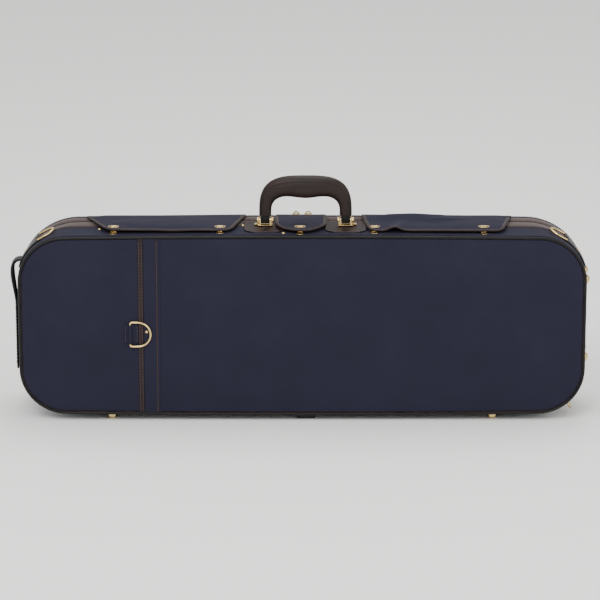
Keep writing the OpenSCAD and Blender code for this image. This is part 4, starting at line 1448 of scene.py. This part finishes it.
class CASE_OT_stage(bpy.types.Operator):
    """Set the floor, the soft lights and the camera"""

    bl_idname = "violin_case.stage"
    bl_label = "Stage"

    def execute(self, context):
        scene = context.scene
        material = bpy.data.materials.new("painted_floor")
        material.use_nodes = True
        shader = material.node_tree.nodes["Principled BSDF"]
        shader.inputs["Base Color"].default_value = (*scene.case_colours.floor, 1)
        shader.inputs["Roughness"].default_value = 0.9
        mesh = bmesh.new()
        bmesh.ops.create_circle(mesh, cap_ends=True, segments=96, radius=14)
        data = bpy.data.meshes.new("floor")
        mesh.to_mesh(data)
        mesh.free()
        data.materials.append(material)
        floor = bpy.data.objects.new("floor", data)
        scene.collection.objects.link(floor)
        world = bpy.data.worlds.new("studio")
        world.use_nodes = True
        world.node_tree.nodes["Background"].inputs["Color"].default_value = (1, 1, 1, 1)
        world.node_tree.nodes["Background"].inputs["Strength"].default_value = 1.0
        scene.world = world
        for name, at, aim, size, power in (
            ("key_light", (-0.9, -2.2, 2.4), (0, 0, 0.1), 1.6, 70),
            ("fill_light", (1.9, -1.6, 1.3), (0, 0, 0.15), 1.6, 22),
            ("top_light", (0.2, 0.6, 2.6), (0, 0, 0.2), 1.4, 34),
        ):
            light = bpy.data.lights.new(name, "AREA")
            light.size, light.energy = size, power
            lamp = bpy.data.objects.new(name, light)
            lamp.location = at
            lamp.rotation_euler = (Vector(aim) - Vector(at)).to_track_quat("-Z", "Y").to_euler()
            scene.collection.objects.link(lamp)
        self.camera(scene)
        return {"FINISHED"}

    def camera(self, scene):
        """Looks along +Y from 17 degrees above, five metres away."""
        tilt, distance, across = math.radians(17), 5.0, 0.8352
        up = Vector((0, math.sin(tilt), math.cos(tilt)))
        back = Vector((0, -math.cos(tilt), math.sin(tilt)))
        aside, above, sensor = -0.0031, 0.0367, 36
        face = Vector((0, Y_FACE * MM, MIDDLE_Z * MM))
        target = face + Vector((aside, 0, 0)) + up * above
        lens = bpy.data.cameras.new("camera")
        lens.sensor_width = sensor
        lens.lens = sensor * distance / across
        lens.clip_end = 60
        camera = bpy.data.objects.new("camera", lens)
        camera.location = target + back * distance
        camera.rotation_euler = (-back).to_track_quat("-Z", "Y").to_euler()
        scene.collection.objects.link(camera)
        scene.camera = camera


STEPS = (
    CASE_OT_stage,
    CASE_OT_covers,
    CASE_OT_piping,
    CASE_OT_zips,
    CASE_OT_face_strip,
    CASE_OT_leather,
    CASE_OT_handle,
    CASE_OT_flaps,
    CASE_OT_fittings,
    CASE_OT_inside,
)


class CASE_PT_panel(bpy.types.Panel):
    """Lists the steps that build the case"""

    bl_idname = "CASE_PT_panel"
    bl_label = "Violin Case"
    bl_space_type = "VIEW_3D"
    bl_region_type = "UI"
    bl_category = "Violin Case"

    def draw(self, context):
        for step in STEPS:
            self.layout.operator(step.bl_idname)
        for group in (context.scene.case_sizes, context.scene.case_colours):
            for name in group.bl_rna.properties.keys():
                if name not in ("rna_type", "name"):
                    self.layout.prop(group, name)


CLASSES = (CaseSizes, CaseColours, *STEPS, CASE_PT_panel)


def register():
    for item in CLASSES:
        bpy.utils.register_class(item)
    bpy.types.Scene.case_sizes = bpy.props.PointerProperty(type=CaseSizes)
    bpy.types.Scene.case_colours = bpy.props.PointerProperty(type=CaseColours)


def unregister():
    del bpy.types.Scene.case_colours
    del bpy.types.Scene.case_sizes
    for item in reversed(CLASSES):
        bpy.utils.unregister_class(item)


def main():
    register()
    scene = bpy.context.scene
    make_materials(scene.case_sizes, scene.case_colours)
    for step in STEPS:
        group, name = step.bl_idname.split(".")
        getattr(getattr(bpy.ops, group), name)()


if __name__ == "__main__":
    main()
